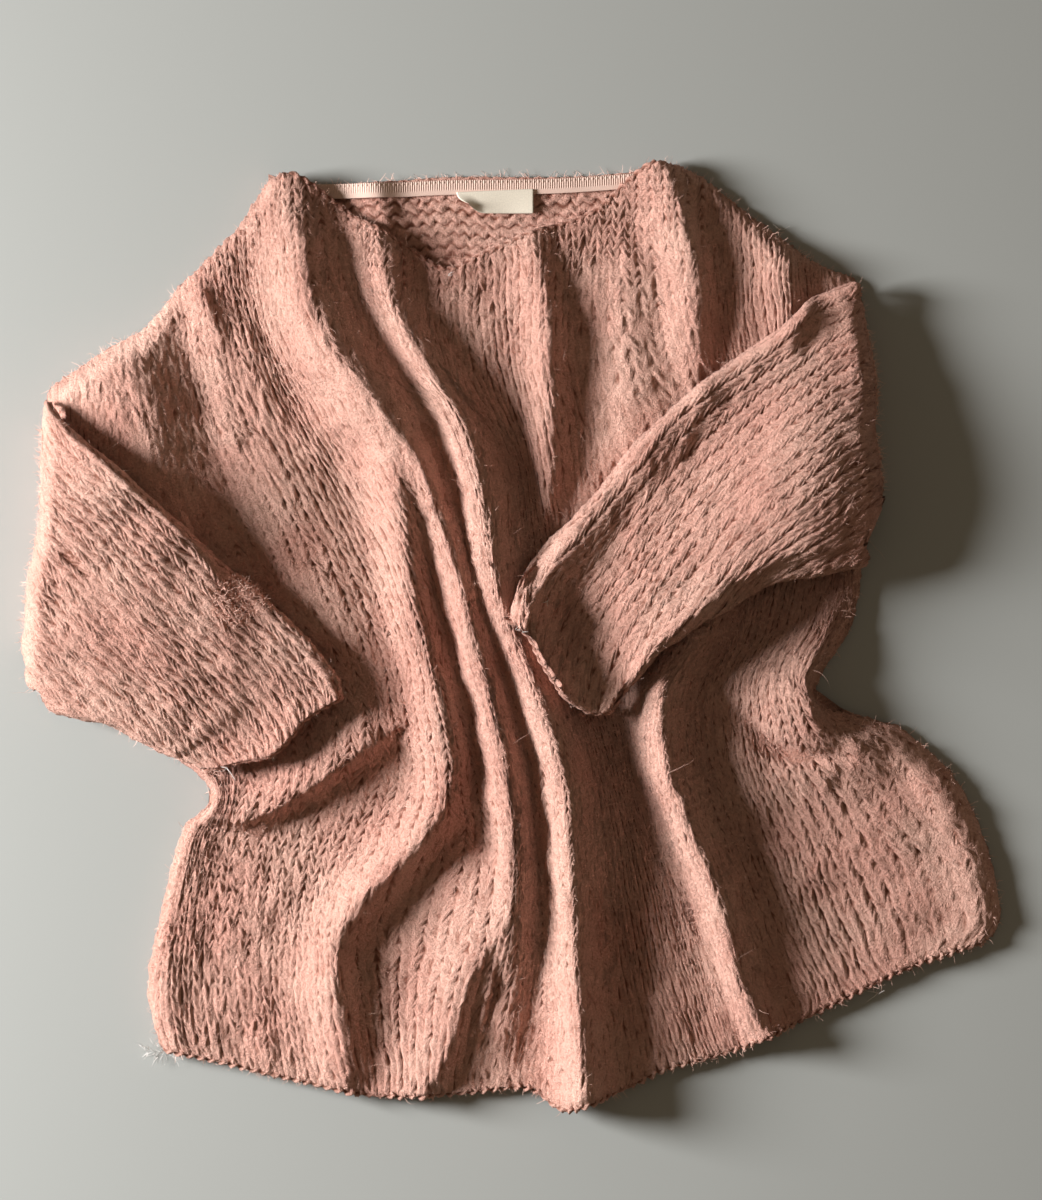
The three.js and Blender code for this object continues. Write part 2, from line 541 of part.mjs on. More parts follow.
const sweater = new THREE.Group();
sweater.add(backPanel(), frontPanel(), ...SLEEVES.map(sleeveTube), neckTape(), label());

export default sweater;
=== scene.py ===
# %% [markdown]
# # A darned sweater, laid flat
#
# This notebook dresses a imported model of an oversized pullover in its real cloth: a bulky,
# brushed knit in peach pink, worn and a little felted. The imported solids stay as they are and
# only say where everything is. Each one is replaced here by a thin shell that carries the
# stitches. Everything is worked out in millimetres and turned into metres at the very end.

# %% Load the frame
import math

import bmesh
import bpy
import numpy as np
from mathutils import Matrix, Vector


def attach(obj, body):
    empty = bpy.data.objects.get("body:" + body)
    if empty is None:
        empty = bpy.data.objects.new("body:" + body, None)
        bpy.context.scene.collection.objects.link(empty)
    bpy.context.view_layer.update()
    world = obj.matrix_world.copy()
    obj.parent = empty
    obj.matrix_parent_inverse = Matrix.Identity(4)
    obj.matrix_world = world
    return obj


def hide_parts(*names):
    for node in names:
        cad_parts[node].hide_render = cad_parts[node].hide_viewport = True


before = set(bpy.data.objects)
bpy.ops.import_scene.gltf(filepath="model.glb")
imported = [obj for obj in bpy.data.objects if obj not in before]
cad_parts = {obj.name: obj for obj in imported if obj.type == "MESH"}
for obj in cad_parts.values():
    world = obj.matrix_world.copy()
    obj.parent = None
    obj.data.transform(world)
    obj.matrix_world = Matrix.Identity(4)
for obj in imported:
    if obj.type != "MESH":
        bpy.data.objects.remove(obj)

bpy.context.view_layer.update()

# %% [markdown]
# ## Measures
#
# A stockinette fabric is a lattice of columns, the wales, and rows, the courses. This one has
# ten wales and thirteen and a half rows to 100 mm, and its wall is 5 mm thick. Heights count
# up from the surface that the sweater lies on.

# %% Measures, in millimetres
MM = 0.001
WALE = 10.0
ROW = 7.4
CLOTH = 5.0
GAP = 0.3
BACK_TOP = CLOTH
FRONT_TOP = BACK_TOP + GAP + CLOTH
FRONT_WIDTH = 690.0
EDGE_ROLL = 20.0
SIDE_REACH = 80.0
SHOULDER_REACH = 60.0
FLOOR_CLEARANCE = 1.4
SLEEVE_LIFT = 2.0
SLEEVE_HALF = 5.5
SLEEVE_DROOP = 34.0
FOLD_RADIUS = 8.5
WELD = 0.02
print("stitches per square decimetre", round(1e4 / (WALE * ROW)))

# %% [markdown]
# ## Where the wales run
#
# The front isn't spread out: it is bunched into long folds, so its wales bend. A knitter
# would see it at once by following one column of stitches from the shoulder to the hem. The
# lines below are such columns. The number before each is its distance across
# the cloth, from the left side.

# %% Lines followed by the front's wales, from the top edge to the hem
FRONT_WALES = {
    0: [(-349, 184), (-345, 150), (-345, 110), (-351, 60), (-350, 0), (-335, -40), (-290, -75),
        (-242, -100), (-224, -124), (-247, -147), (-262, -205), (-273, -265), (-264, -311)],
    60: [(-300, 217), (-292, 150), (-285, 90), (-270, 30), (-245, -30), (-215, -75), (-205, -115),
         (-215, -160), (-222, -210), (-226, -260), (-215, -321)],
    90: [(-275, 231), (-264, 175), (-252, 115), (-235, 55), (-210, 2), (-180, -50), (-172, -100),
         (-182, -140), (-192, -195), (-198, -250), (-188, -328)],
    120: [(-249, 262), (-240, 200), (-225, 140), (-200, 80), (-175, 25), (-150, -25), (-140, -75),
          (-150, -120), (-162, -170), (-170, -220), (-170, -270), (-160, -334)],
    175: [(-209, 302), (-202, 250), (-185, 195), (-160, 140), (-132, 85), (-110, 35), (-92, -15),
          (-82, -60), (-80, -105), (-92, -145), (-110, -185), (-118, -230), (-115, -280), (-105, -345)],
    230: [(-172, 346), (-170, 300), (-166, 260), (-157, 225), (-142, 198), (-122, 168), (-102, 138),
          (-84, 105), (-68, 70), (-57, 38), (-47, 5), (-38, -28), (-28, -65), (-19, -100), (-12, -135),
          (-12, -170), (-16, -205), (-24, -245), (-34, -290), (-42, -344)],
    285: [(-117, 312), (-112, 265), (-100, 235), (-85, 195), (-62, 173), (-45, 145), (-35, 100),
          (-25, 50), (-18, 0), (-5, -50), (10, -110), (18, -160), (22, -215), (22, -265), (14, -340)],
    310: [(-100, 304), (-103, 275), (-94, 248), (-82, 215), (-66, 192), (-49, 170), (-36, 140),
          (-25, 105), (-18, 70), (-13, 35), (-7, 0), (3, -30), (14, -65), (23, -100), (29, -140),
          (33, -180), (36, -220), (37, -260), (38, -300), (38, -355)],
    335: [(-78, 289), (-72, 250), (-62, 215), (-45, 185), (-25, 150), (-12, 110), (-6, 70), (-2, 35),
          (5, 0), (18, -35), (32, -70), (42, -110), (48, -150), (52, -200), (54, -250), (60, -349)],
    365: [(-48, 274), (-47, 230), (-38, 190), (-10, 150), (4, 110), (8, 70), (12, 40), (20, 0),
          (40, -50), (55, -100), (62, -150), (68, -200), (74, -250), (88, -339)],
    395: [(-20, 286), (-18, 240), (-8, 190), (10, 140), (18, 90), (25, 40), (38, 0), (55, -50),
          (68, -100), (77, -150), (85, -200), (95, -250), (115, -326)],
    430: [(15, 301), (15, 250), (18, 200), (28, 150), (35, 100), (45, 50), (60, 0), (74, -50),
          (84, -100), (95, -150), (107, -200), (118, -250), (142, -319)],
    475: [(60, 316), (58, 250), (62, 200), (70, 150), (78, 100), (85, 50), (90, 0), (92, -50),
          (98, -100), (112, -150), (128, -200), (143, -250), (165, -312)],
    530: [(115, 355), (116, 300), (122, 250), (135, 200), (148, 150), (150, 100), (148, 50), (138, 0),
          (112, -45), (110, -90), (122, -140), (140, -190), (158, -240), (180, -306)],
    605: [(186, 311), (188, 260), (195, 200), (200, 150), (198, 100), (192, 50), (180, 0), (165, -40),
          (168, -90), (185, -140), (205, -190), (225, -240), (240, -278)],
    650: [(226, 281), (230, 230), (235, 180), (238, 120), (236, 60), (225, 10), (205, -30),
          (215, -75), (245, -120), (270, -170), (290, -220), (300, -249)],
    690: [(260, 268), (265, 200), (267, 150), (270, 110), (263, 45), (255, 5), (232, -32), (234, -52),
          (290, -70), (333, -108), (357, -158), (368, -208), (360, -229)],
}
BACK_NECK = [(-172, 346), (-150, 338), (-100, 342), (-50, 346), (0, 346), (50, 347), (100, 352), (115, 355)]
NECK_CUTS = (230, 530)
print(len(FRONT_WALES), "wales placed by hand")

# %% [markdown]
# ## Where the cloth stands up
#
# Each fold is a crest: a given line with a height at each point, and how far it reaches
# to either side. A steep flank has a short reach and a lazy one a long reach. The heights of
# folds that meet are blended, so that they run into one another instead of piling up. A crease
# is the same thing turned over: its depth is taken off.

# %% Crests of the front: reach to port and to starboard of someone walking along, then x, y, height
FRONT_FOLDS = {
    "upper left fold": (26, 27, [(-170, 344, 10), (-165, 315, 18), (-160, 288, 26), (-154, 262, 30),
        (-147, 240, 31), (-136, 218, 34), (-121, 197, 35), (-104, 176, 34), (-88, 158, 25),
        (-76, 145, 12)]),
    "long left fold": (13, 17, [(-136, 218, 4), (-121, 197, 11), (-100, 172, 20), (-80, 148, 27),
        (-66, 122, 28), (-56, 95, 28), (-47, 66, 28), (-38, 38, 28), (-31, 12, 29), (-24, -15, 30),
        (-16, -45, 31), (-9, -75, 31), (-3, -105, 31), (0, -135, 30), (2, -165, 28), (2, -200, 25),
        (0, -230, 18), (-1, -260, 10), (-3, -290, 6)]),
    "lower left fold": (14, 20, [(-112, 178, 7), (-100, 158, 16), (-91, 135, 23), (-84, 110, 26),
        (-80, 85, 26), (-77, 55, 25), (-73, 25, 25), (-66, -2, 25), (-59, -27, 25), (-53, -50, 26),
        (-49, -75, 26), (-47, -100, 26), (-50, -124, 25), (-63, -148, 30), (-85, -172, 28),
        (-111, -198, 25), (-127, -225, 22), (-132, -255, 20), (-127, -290, 14), (-122, -325, 10)]),
    "saddle between the left folds": (12, 12, [(-92, 160, 14), (-82, 135, 17), (-73, 112, 17),
        (-66, 88, 14), (-60, 65, 8)]),
    "middle fold": (17, 18, [(-102, 303, 9), (-98, 278, 15), (-90, 252, 19), (-78, 226, 24),
        (-64, 202, 26), (-49, 176, 28), (-35, 150, 30), (-26, 122, 32), (-20, 95, 32), (-16, 70, 32),
        (-13, 48, 32), (-8, 24, 32), (2, 0, 32), (12, -25, 33), (21, -50, 35), (30, -75, 36),
        (37, -100, 36), (42, -128, 36), (45, -165, 35), (46, -200, 33), (48, -235, 32), (50, -268, 32),
        (52, -300, 31), (55, -345, 30)]),
    "short hem fold": (9, 28, [(-8, -222, 16), (-27, -248, 18), (-36, -273, 17), (-44, -300, 16),
        (-57, -332, 13)]),
    "lower right fold": (15, 15, [(152, 18, 9), (138, 2, 15), (124, -15, 22), (115, -35, 28),
        (112, -55, 30), (113, -78, 31), (118, -105, 31), (128, -132, 30), (139, -158, 29),
        (149, -182, 28), (158, -208, 26), (165, -235, 24), (173, -262, 22), (183, -285, 20),
        (192, -300, 18)]),
    "chest fold below the neck": (11, 16, [(17, 300, 7), (21, 277, 12), (25, 252, 16), (27, 226, 17),
        (28, 200, 17), (30, 175, 16), (30, 150, 14), (30, 125, 12), (28, 100, 8)]),
    "faint chest fold": (30, 16, [(84, 262, 5), (86, 236, 7), (88, 210, 7), (90, 182, 7), (90, 150, 5)]),
    "fold from the right neck corner": (11, 22, [(115, 347, 11), (123, 326, 15), (131, 301, 18),
        (137, 276, 18), (139, 250, 16), (139, 226, 14), (141, 205, 9)]),
    "right shoulder fold": (10, 20, [(194, 306, 6), (203, 286, 12), (207, 262, 13), (209, 240, 9)]),
    "right waist fold": (9, 12, [(250, -12, 6), (240, -20, 12), (233, -28, 15)]),
    "right waist bulge": (9, 40, [(232, -30, 20), (224, -48, 23), (226, -64, 23), (238, -76, 19),
        (254, -81, 14)]),
    "right hip rim": (8, 15, [(256, -82, 13), (279, -78, 16), (304, -90, 20), (327, -113, 20),
        (344, -144, 20), (356, -181, 18), (361, -212, 13)]),
    "left hip rim": (26, 8, [(-243, -150, 3), (-253, -178, 4), (-259, -215, 4), (-263, -250, 4),
        (-259, -285, 4)]),
    "left shoulder pucker": (9, 12, [(-240, 270, 7), (-232, 252, 11), (-224, 235, 10), (-217, 218, 6)]),
    "left shoulder crest": (32, 80, [(-292, 218, 15), (-286, 190, 23), (-278, 165, 26), (-268, 138, 24),
        (-254, 108, 15)]),
    "left chest rise": (45, 22, [(-222, 225, 5), (-212, 185, 7), (-206, 145, 7), (-188, 100, 7),
        (-160, 50, 6), (-132, 5, 5), (-112, -30, 4)]),
    "pleat under the left cuff": (30, 6, [(-226, -136, 12), (-205, -139, 15), (-180, -132, 17),
        (-155, -117, 18), (-130, -100, 18), (-108, -84, 15), (-94, -76, 8)]),
    "foot of the long fold": (22, 52, [(0, -160, 8), (-2, -185, 16), (-4, -212, 20), (-9, -238, 17)]),
}
CREASES = {
    "crease under the waist bulge": (6, 8, [(150, -50, 3), (172, -66, 9), (196, -83, 12), (222, -91, 11),
        (246, -90, 5)]),
}
print(len(FRONT_FOLDS), "folds in the front")

# %% [markdown]
# ## The sleeves' edges
#
# Each sleeve is a wide tube, folded in over the front and lying flat. Four lines bound it: its
# upper and lower folded edges, the outer fold where it turns back from the body, and the cuff.
# The two cuts are the flattened tube's widths on the cloth, at the outer fold and at the cuff.

# %% Lines round the sleeves, from the outer fold to the cuff and from the upper edge to the lower
LEFT_SLEEVE = {
    "upper": [(-347, 176), (-336, 162), (-321, 147), (-294, 127), (-275, 108), (-250, 85), (-220, 58),
              (-190, 33), (-165, 10), (-150, -5), (-132, -30), (-126, -47)],
    "lower": [(-366, -38), (-345, -58), (-300, -68), (-270, -82), (-240, -95), (-226, -101)],
    "root": [(-347, 176), (-352, 158), (-352, 130), (-355, 80), (-362, 40), (-365, 10), (-368, -18),
             (-366, -38)],
    "cuff": [(-126, -47), (-150, -60), (-165, -77), (-180, -90), (-205, -95), (-226, -101)],
    "cut": 159.0,
    "cuff_cut": 108.0,
    "folds": {
        "puffed upper edge": (9, 210, [(-344, 162, 9), (-321, 142, 14), (-292, 119, 17), (-262, 91, 17),
            (-230, 61, 16), (-200, 36, 14), (-172, 12, 12), (-148, -12, 9), (-134, -34, 6)]),
        "soft outer ridge": (16, 22, [(-262, 60, 4), (-262, 20, 6), (-256, -20, 6), (-250, -60, 5)]),
        "soft cuff ridge": (14, 18, [(-204, 25, 3), (-207, -10, 5), (-210, -45, 5), (-212, -75, 3)]),
    },
}
RIGHT_SLEEVE = {
    "upper": [(262, 265), (240, 257), (225, 250), (200, 228), (170, 207), (140, 185), (110, 160),
              (85, 133), (65, 108), (45, 85), (25, 65), (8, 42), (0, 15), (2, 8)],
    "lower": [(270, 52), (250, 48), (220, 43), (190, 35), (162, 18), (138, 5), (112, -12), (92, -35),
              (76, -57)],
    "root": [(262, 265), (271, 210), (275, 175), (273, 150), (279, 115), (278, 85), (270, 52)],
    "cuff": [(2, 8), (13, 0), (22, -18), (38, -42), (50, -52), (62, -58), (76, -57)],
    "cut": 188.0,
    "cuff_cut": 100.0,
    "folds": {
        "puffed upper edge": (17, 9, [(246, 249, 5), (214, 230, 6), (179, 203, 6), (149, 180, 6),
            (117, 153, 6), (90, 124, 6), (65, 96, 7), (47, 73, 10), (34, 54, 14), (23, 36, 16),
            (15, 20, 15)]),
        "ridge inside the lower edge": (10, 45, [(262, 70, 10), (236, 66, 18), (205, 60, 23),
            (174, 44, 25), (148, 26, 24), (121, 8, 22), (101, -10, 19), (87, -33, 14)]),
        "belly": (70, 54, [(250, 215, 6), (244, 180, 14), (236, 148, 22), (226, 118, 28), (212, 92, 28),
            (194, 68, 22)]),
        "pucker by the upper edge": (9, 16, [(182, 196, 3), (178, 184, 5), (173, 172, 3)]),
        "second pucker": (9, 16, [(138, 168, 4), (132, 153, 7), (127, 138, 4)]),
    },
}
print("sleeve cuts", LEFT_SLEEVE["cut"], RIGHT_SLEEVE["cut"])

# %% [markdown]
# ## Smooth lines
#
# A line of listed points becomes smooth when a cubic is run through them. The same small
# helpers are used for wales, crests and edges: one makes the smooth line, one measures it, and
# one finds the place at a given distance along it.


# %% Line helpers
def smooth_line(points, per_span=10):
    """Catmull-Rom curve through given points."""
    p = np.array(points, float)
    q = np.vstack([2 * p[0] - p[1], p, 2 * p[-1] - p[-2]])
    t = np.linspace(0, 1, per_span, endpoint=False)[:, None]
    spans = [
        0.5 * (2 * b + (c - a) * t + (2 * a - 5 * b + 4 * c - d) * t**2 + (3 * b - a - 3 * c + d) * t**3)
        for a, b, c, d in zip(q, q[1:], q[2:], q[3:])
    ]
    return np.vstack([*spans, p[-1:]])


def run_of(line):
    """Distance from the line's start to each of its points."""
    return np.r_[0, np.cumsum(np.linalg.norm(np.diff(line[:, :2], axis=0), axis=1))]


def place_at(line, distance):
    """Points at distances along a line; past its ends the line goes straight on."""
    run = run_of(line)
    inside = np.clip(distance, 0, run[-1])
    spot = np.stack([np.interp(inside, run, line[:, k]) for k in range(2)], -1)
    first = (line[1] - line[0])[:2] / run[1]
    last = (line[-1] - line[-2])[:2] / (run[-1] - run[-2])
    before = np.minimum(distance, 0)[..., None]
    after = np.maximum(distance - run[-1], 0)[..., None]
    return spot + before * first + after * last


def ease(x, low, high):
    t = np.clip((x - low) / (high - low), 0, 1)
    return t * t * (3 - 2 * t)


def through_weights(knots, x):
    """How much each listed wale counts at x, for a smooth value across uneven spaces."""
    knots = np.array(knots, float)
    x = np.asarray(x, float)
    last = len(knots) - 1
    k = np.clip(np.searchsorted(knots, x, side="left") - 1, 0, last - 1)
    span = knots[k + 1] - knots[k]
    t = (x - knots[k]) / span
    weights = np.zeros((len(x), len(knots)))
    rows = np.arange(len(x))
    np.add.at(weights, (rows, k), 2 * t**3 - 3 * t**2 + 1)
    np.add.at(weights, (rows, k + 1), 3 * t**2 - 2 * t**3)
    for at, share in ((k, t**3 - 2 * t**2 + t), (k + 1, t**3 - t**2)):
        low = np.maximum(at - 1, 0)
        high = np.minimum(at + 1, last)
        slope = share * span / (knots[high] - knots[low])
        np.add.at(weights, (rows, high), slope)
        np.add.at(weights, (rows, low), -slope)
    return weights


wale_cuts = list(FRONT_WALES)
wale_lines = [smooth_line(points) for points in FRONT_WALES.values()]
wale_lengths = np.array([run_of(line)[-1] for line in wale_lines])
print("wale lengths", wale_lengths.round().astype(int).tolist())

# %% [markdown]
# ## The lie of the cloth
#
# Heights are laid down once on a fine square map, as a surveyor would, and read back wherever
# a piece needs them. A second map is the first one spread out a little: it is what a sleeve
# feels when it lies on the front, since thick cloth bridges the hollows under it.

# %% Maps of height
MAP_STEP = 2.0
MAP_X = np.arange(-400, 401, MAP_STEP)
MAP_Y = np.arange(-384, 385, MAP_STEP)
map_x, map_y = np.meshgrid(MAP_X, MAP_Y)


def fold_height(folds, x, y):
    """Blended height of all the folds at flat arrays of x and y."""
    total = np.zeros_like(x)
    for port, starboard, points in folds.values():
        crest = smooth_line(points, 5)
        reach = 3 * max(port, starboard)
        low, high = crest[:, :2].min(0) - reach, crest[:, :2].max(0) + reach
        near = (x > low[0]) & (x < high[0]) & (y > low[1]) & (y < high[1])
        px, py = x[near], y[near]
        best = np.full(px.shape, np.inf)
        height = np.zeros(px.shape)
        for a, b in zip(crest, crest[1:]):
            dx, dy = b[0] - a[0], b[1] - a[1]
            along = np.clip(((px - a[0]) * dx + (py - a[1]) * dy) / (dx * dx + dy * dy), 0, 1)
            ox = px - a[0] - along * dx
            oy = py - a[1] - along * dy
            distance = np.hypot(ox, oy)
            side = np.where(dx * oy - dy * ox > 0, port, starboard)
            value = (a[2] + (b[2] - a[2]) * along) * np.exp(-((distance / side) ** 2))
            closer = distance < best
            best = np.where(closer, distance, best)
            height = np.where(closer, value, height)
        total[near] += height**3
    return np.cbrt(total)


def read_map(heights, x, y):
    """Height at x, y, between the four nearest places on a map."""
    fx = np.clip((x - MAP_X[0]) / MAP_STEP, 0, len(MAP_X) - 1.001)
    fy = np.clip((y - MAP_Y[0]) / MAP_STEP, 0, len(MAP_Y) - 1.001)
    ix, iy = fx.astype(int), fy.astype(int)
    tx, ty = fx - ix, fy - iy
    low = heights[iy, ix] * (1 - tx) + heights[iy, ix + 1] * tx
    high = heights[iy + 1, ix] * (1 - tx) + heights[iy + 1, ix + 1] * tx
    return low * (1 - ty) + high * ty


def spread(heights, steps, keep):
    """Widen or soften a map by steps; keep is max to widen and a mean to soften."""
    for _ in range(steps):
        moved = [np.roll(heights, way, axis) for axis in (0, 1) for way in (1, -1)]
        heights = keep([heights, *moved], axis=0)
    return heights


raised, sunk = (fold_height(folds, map_x.ravel(), map_y.ravel()).reshape(map_x.shape)
                for folds in (FRONT_FOLDS, CREASES))
front_map = np.maximum(raised - sunk, 0)
print("highest fold", round(float(front_map.max()), 1))

# %% [markdown]
# ## The front's plan
#
# A point on the cloth has two numbers: u, its distance across from the left side, and v, its
# distance up from the hem along its wale. The plan says where that point lies. The top edge is
# not straight on the cloth: it climbs to the neck corners and dips between them.


# %% Plan of the front
def top_of_cloth(u):
    """How long the front is, from the hem to its top edge, at u."""
    return through_weights(wale_cuts, np.clip(u, 0, FRONT_WIDTH)) @ wale_lengths


def front_plan(u, v):
    weights = through_weights(wale_cuts, u)
    length = weights @ wale_lengths
    share = v / length
    spot = np.zeros((len(u), 2))
    for k, line in enumerate(wale_lines):
        used = np.abs(weights[:, k]) > 0
        spot[used] += weights[used, k:k + 1] * place_at(line, (1 - share[used]) * wale_lengths[k])
    return spot


edge_cuts = np.arange(0, FRONT_WIDTH + 1, 10.0)
top_edge = front_plan(edge_cuts, top_of_cloth(edge_cuts))
hem_edge = front_plan(edge_cuts, np.zeros_like(edge_cuts))
left_shoulder = top_edge[edge_cuts <= NECK_CUTS[0]]
right_shoulder = top_edge[edge_cuts >= NECK_CUTS[1]]
neck_edge = smooth_line(BACK_NECK)
body_outline = np.vstack([wale_lines[0], hem_edge[1:-1], wale_lines[-1][::-1], right_shoulder[::-1][1:],
                          neck_edge[::-1][1:-1], left_shoulder[::-1][:-1]])
print("outline spans", (body_outline.max(0) - body_outline.min(0)).round(1).tolist())

# %% [markdown]
# ## What a sleeve lies on
#
# Past the body's edge a sleeve sinks to the table. So the height that it feels is the front's,
# faded out over a hand's breadth outside the outline.


# %% Support map for the sleeves
def distance_outside(outline, x, y):
    nearest = np.full(x.shape, np.inf)
    inside = np.zeros(x.shape, bool)
    for a, b in zip(outline, np.roll(outline, -1, 0)):
        dx, dy = b - a
        if abs(dx) + abs(dy) < 1e-9:
            continue
        along = np.clip(((x - a[0]) * dx + (y - a[1]) * dy) / (dx * dx + dy * dy), 0, 1)
        nearest = np.minimum(nearest, np.hypot(x - a[0] - along * dx, y - a[1] - along * dy))
        crosses = (a[1] > y) != (b[1] > y)
        if crosses.any():
            level = dx * (y - a[1]) / (dy if abs(dy) > 1e-12 else 1e-12) + a[0]
            inside ^= crosses & (x < level)
    return np.where(inside, 0, nearest)


outside_map = distance_outside(body_outline, map_x, map_y)
support_map = spread(front_map + FRONT_TOP, 4, np.max)
support_map = spread(support_map * (1 - ease(outside_map, 0, SLEEVE_DROOP)), 4, np.mean)
print("support reaches", round(float(support_map.max()), 1))

# %% [markdown]
# ## Rolling cloth over a fold
#
# A folded edge isn't a cut edge: the cloth turns round it in a half circle. The cloth is first
# laid out flat, a little past the fold, and then everything near the fold is bent round it.
# The same roll makes the sides, the shoulders and all the sleeves' edges.


# %% Roll
def from_edge(line, inner, xy, overrun=60.0):
    """Signed distance from an edge, more towards the point inner, and the way inwards."""
    ends = [line[0] + (line[0] - line[1]) / np.linalg.norm(line[0] - line[1]) * overrun, *line,
            line[-1] + (line[-1] - line[-2]) / np.linalg.norm(line[-1] - line[-2]) * overrun]
    best = np.full(len(xy), np.inf)
    signed = np.zeros(len(xy))
    inwards = np.zeros((len(xy), 2))
    middle = len(line) // 2
    direction = line[middle] - line[middle - 1]
    towards = np.array(inner) - line[middle]
    flip = 1.0 if direction[0] * towards[1] - direction[1] * towards[0] > 0 else -1.0
    for a, b in zip(ends, ends[1:]):
        step = b - a
        size = np.linalg.norm(step)
        if size < 1e-9:
            continue
        offset = xy - a
        along = np.clip(offset @ step / size**2, 0, 1)
        away = offset - along[:, None] * step
        distance = np.linalg.norm(away, axis=1)
        side = np.sign(step[0] * offset[:, 1] - step[1] * offset[:, 0]) * flip
        closer = distance < best
        best = np.where(closer, distance, best)
        signed = np.where(closer, side * distance, signed)
        normal = np.array([-step[1], step[0]]) / size * flip
        inwards[closer] = normal
    return signed, inwards


def roll(xy, line, inner, radius, turn=math.pi / 2):
    """Bend cloth over an edge: new xy, and how far round the fold each point has gone."""
    distance, inwards = from_edge(line, inner, xy)
    angle = np.clip((radius - distance) / radius, 0, turn)
    moved = radius * (1 - np.sin(angle)) - distance
    moved = np.where(angle > 0, moved, 0)
    return xy + moved[:, None] * inwards, angle


# %% [markdown]
# ## Lie of the front
#
# Folds die away towards the sides and shoulders, where the front is joined to the back, and
# run out open at the hem and the neck.


# %% The front's smooth surface
def front_lie(u, v):
    """Smooth face of the front: x, y, z of cloth points u, v."""
    xy = front_plan(u, v)
    sides = ease(u, 0, EDGE_ROLL) * ease(FRONT_WIDTH - u, 0, EDGE_ROLL)
    shoulder = 1 - ease(u, NECK_CUTS[0] - 25, NECK_CUTS[0] - 5) * ease(NECK_CUTS[1] + 25 - u, 0, 20)
    from_top = top_of_cloth(u) - v
    share = sides * (1 - shoulder * (1 - ease(from_top, 0, EDGE_ROLL)))
    z = FRONT_TOP + read_map(front_map, xy[:, 0], xy[:, 1]) * share
    drop = np.zeros(len(u))
    by_shoulder = from_top < SHOULDER_REACH
    for line, near in (
        (wale_lines[0], u < SIDE_REACH),
        (wale_lines[-1], u > FRONT_WIDTH - SIDE_REACH),
        (left_shoulder, by_shoulder & (u < NECK_CUTS[0])),
        (right_shoulder, by_shoulder & (u > NECK_CUTS[1])),
    ):
        xy[near], angle = roll(xy[near], line, (0, 0), FOLD_RADIUS)
        drop[near] += FOLD_RADIUS * (1 - np.cos(angle))
    return np.column_stack([xy, np.maximum(z - drop, FLOOR_CLEARANCE)])


# %% [markdown]
# ## Stitches
#
# On the right side of stockinette every stitch is a V: two plump legs of yarn that lean apart
# as they rise, each tucked into the one above. On the wrong side each row is a wavy line of
# bumps. Both are made as real relief. The mesh is sheared so that its own lines follow the
# legs, which draws a crisp leg with few faces. Old, brushed yarn is never even, so every leg
# gets its own thickness from a seeded table, the felted parts lie lower, and the whole cloth
# wanders a little out of line.

# %% Relief of the two sides of the cloth
LEG_RISE = 2.6
WAVE = 1.5
RELIEF = 2.2
rng = np.random.default_rng(20)
chance = rng.random((6, 256, 256))


def scatter_value(layer, i, j):
    """A fixed random number for stitch i, j."""
    return chance[layer, i.astype(int) % 256, j.astype(int) % 256]


def soft_noise(layer, x, y):
    """Smooth random field, one lump per unit."""
    ix, iy = np.floor(x), np.floor(y)
    tx, ty = x - ix, y - iy
    tx, ty = tx * tx * (3 - 2 * tx), ty * ty * (3 - 2 * ty)
    a = scatter_value(layer, ix, iy) * (1 - tx) + scatter_value(layer, ix + 1, iy) * tx
    b = scatter_value(layer, ix, iy + 1) * (1 - tx) + scatter_value(layer, ix + 1, iy + 1) * tx
    return a * (1 - ty) + b * ty


def across_wale(u):
    """0 in the middle of a wale, 1 where two wales meet."""
    return np.abs((u / WALE) % 1 - 0.5) * 2


def leg_phase(u, v):
    """Rows counted along the legs: whole numbers are the middle of a leg."""
    return (v - LEG_RISE * across_wale(u) * WALE / 2) / ROW


def knit_relief(u, v):
    """Height of the right side of the cloth over its smooth face."""
    across = across_wale(u)
    phase = leg_phase(u, v)
    stitch = np.round(phase)
    half_wale = np.floor(u / (WALE / 2))
    plump = 0.5 + 1.0 * scatter_value(0, half_wale, stitch)
    shift = 0.22 * (scatter_value(1, half_wale, stitch) - 0.5)
    leg = 0.5 + 0.5 * np.cos(2 * math.pi * (phase + shift))
    column = np.sin(math.pi * across) ** 0.7
    felt = 0.6 + 0.8 * soft_noise(2, u / 34, v / 41)
    hole = across**4 * (1 - leg)
    height = RELIEF * ((0.42 + 0.58 * leg * plump) * (0.30 + 0.70 * column) - 0.4 - 0.4 * hole) * felt
    return height + 1.6 * (soft_noise(3, u / 3.4, v / 4.6) - 0.5)


def lumps(u, v):
    """Low, wide lumps of cloth that has lain about."""
    return 3.0 * (soft_noise(5, u / 19, v / 23) - 0.5) + 2.0 * (soft_noise(4, u / 41 + 3, v / 37) - 0.5)


def wandered(u, v):
    """Cloth points moved as uneven, pulled stitches are."""
    aside = 2.3 * (soft_noise(3, u / 8 + 40, v / 9) - 0.5) + 5.0 * (soft_noise(2, u / 45 + 9, v / 60) - 0.5)
    along = 2.4 * (soft_noise(4, u / 7 + 80, v / 8) - 0.5) + 5.0 * (soft_noise(1, u / 50, v / 45 + 7) - 0.5)
    return u + aside, v + along


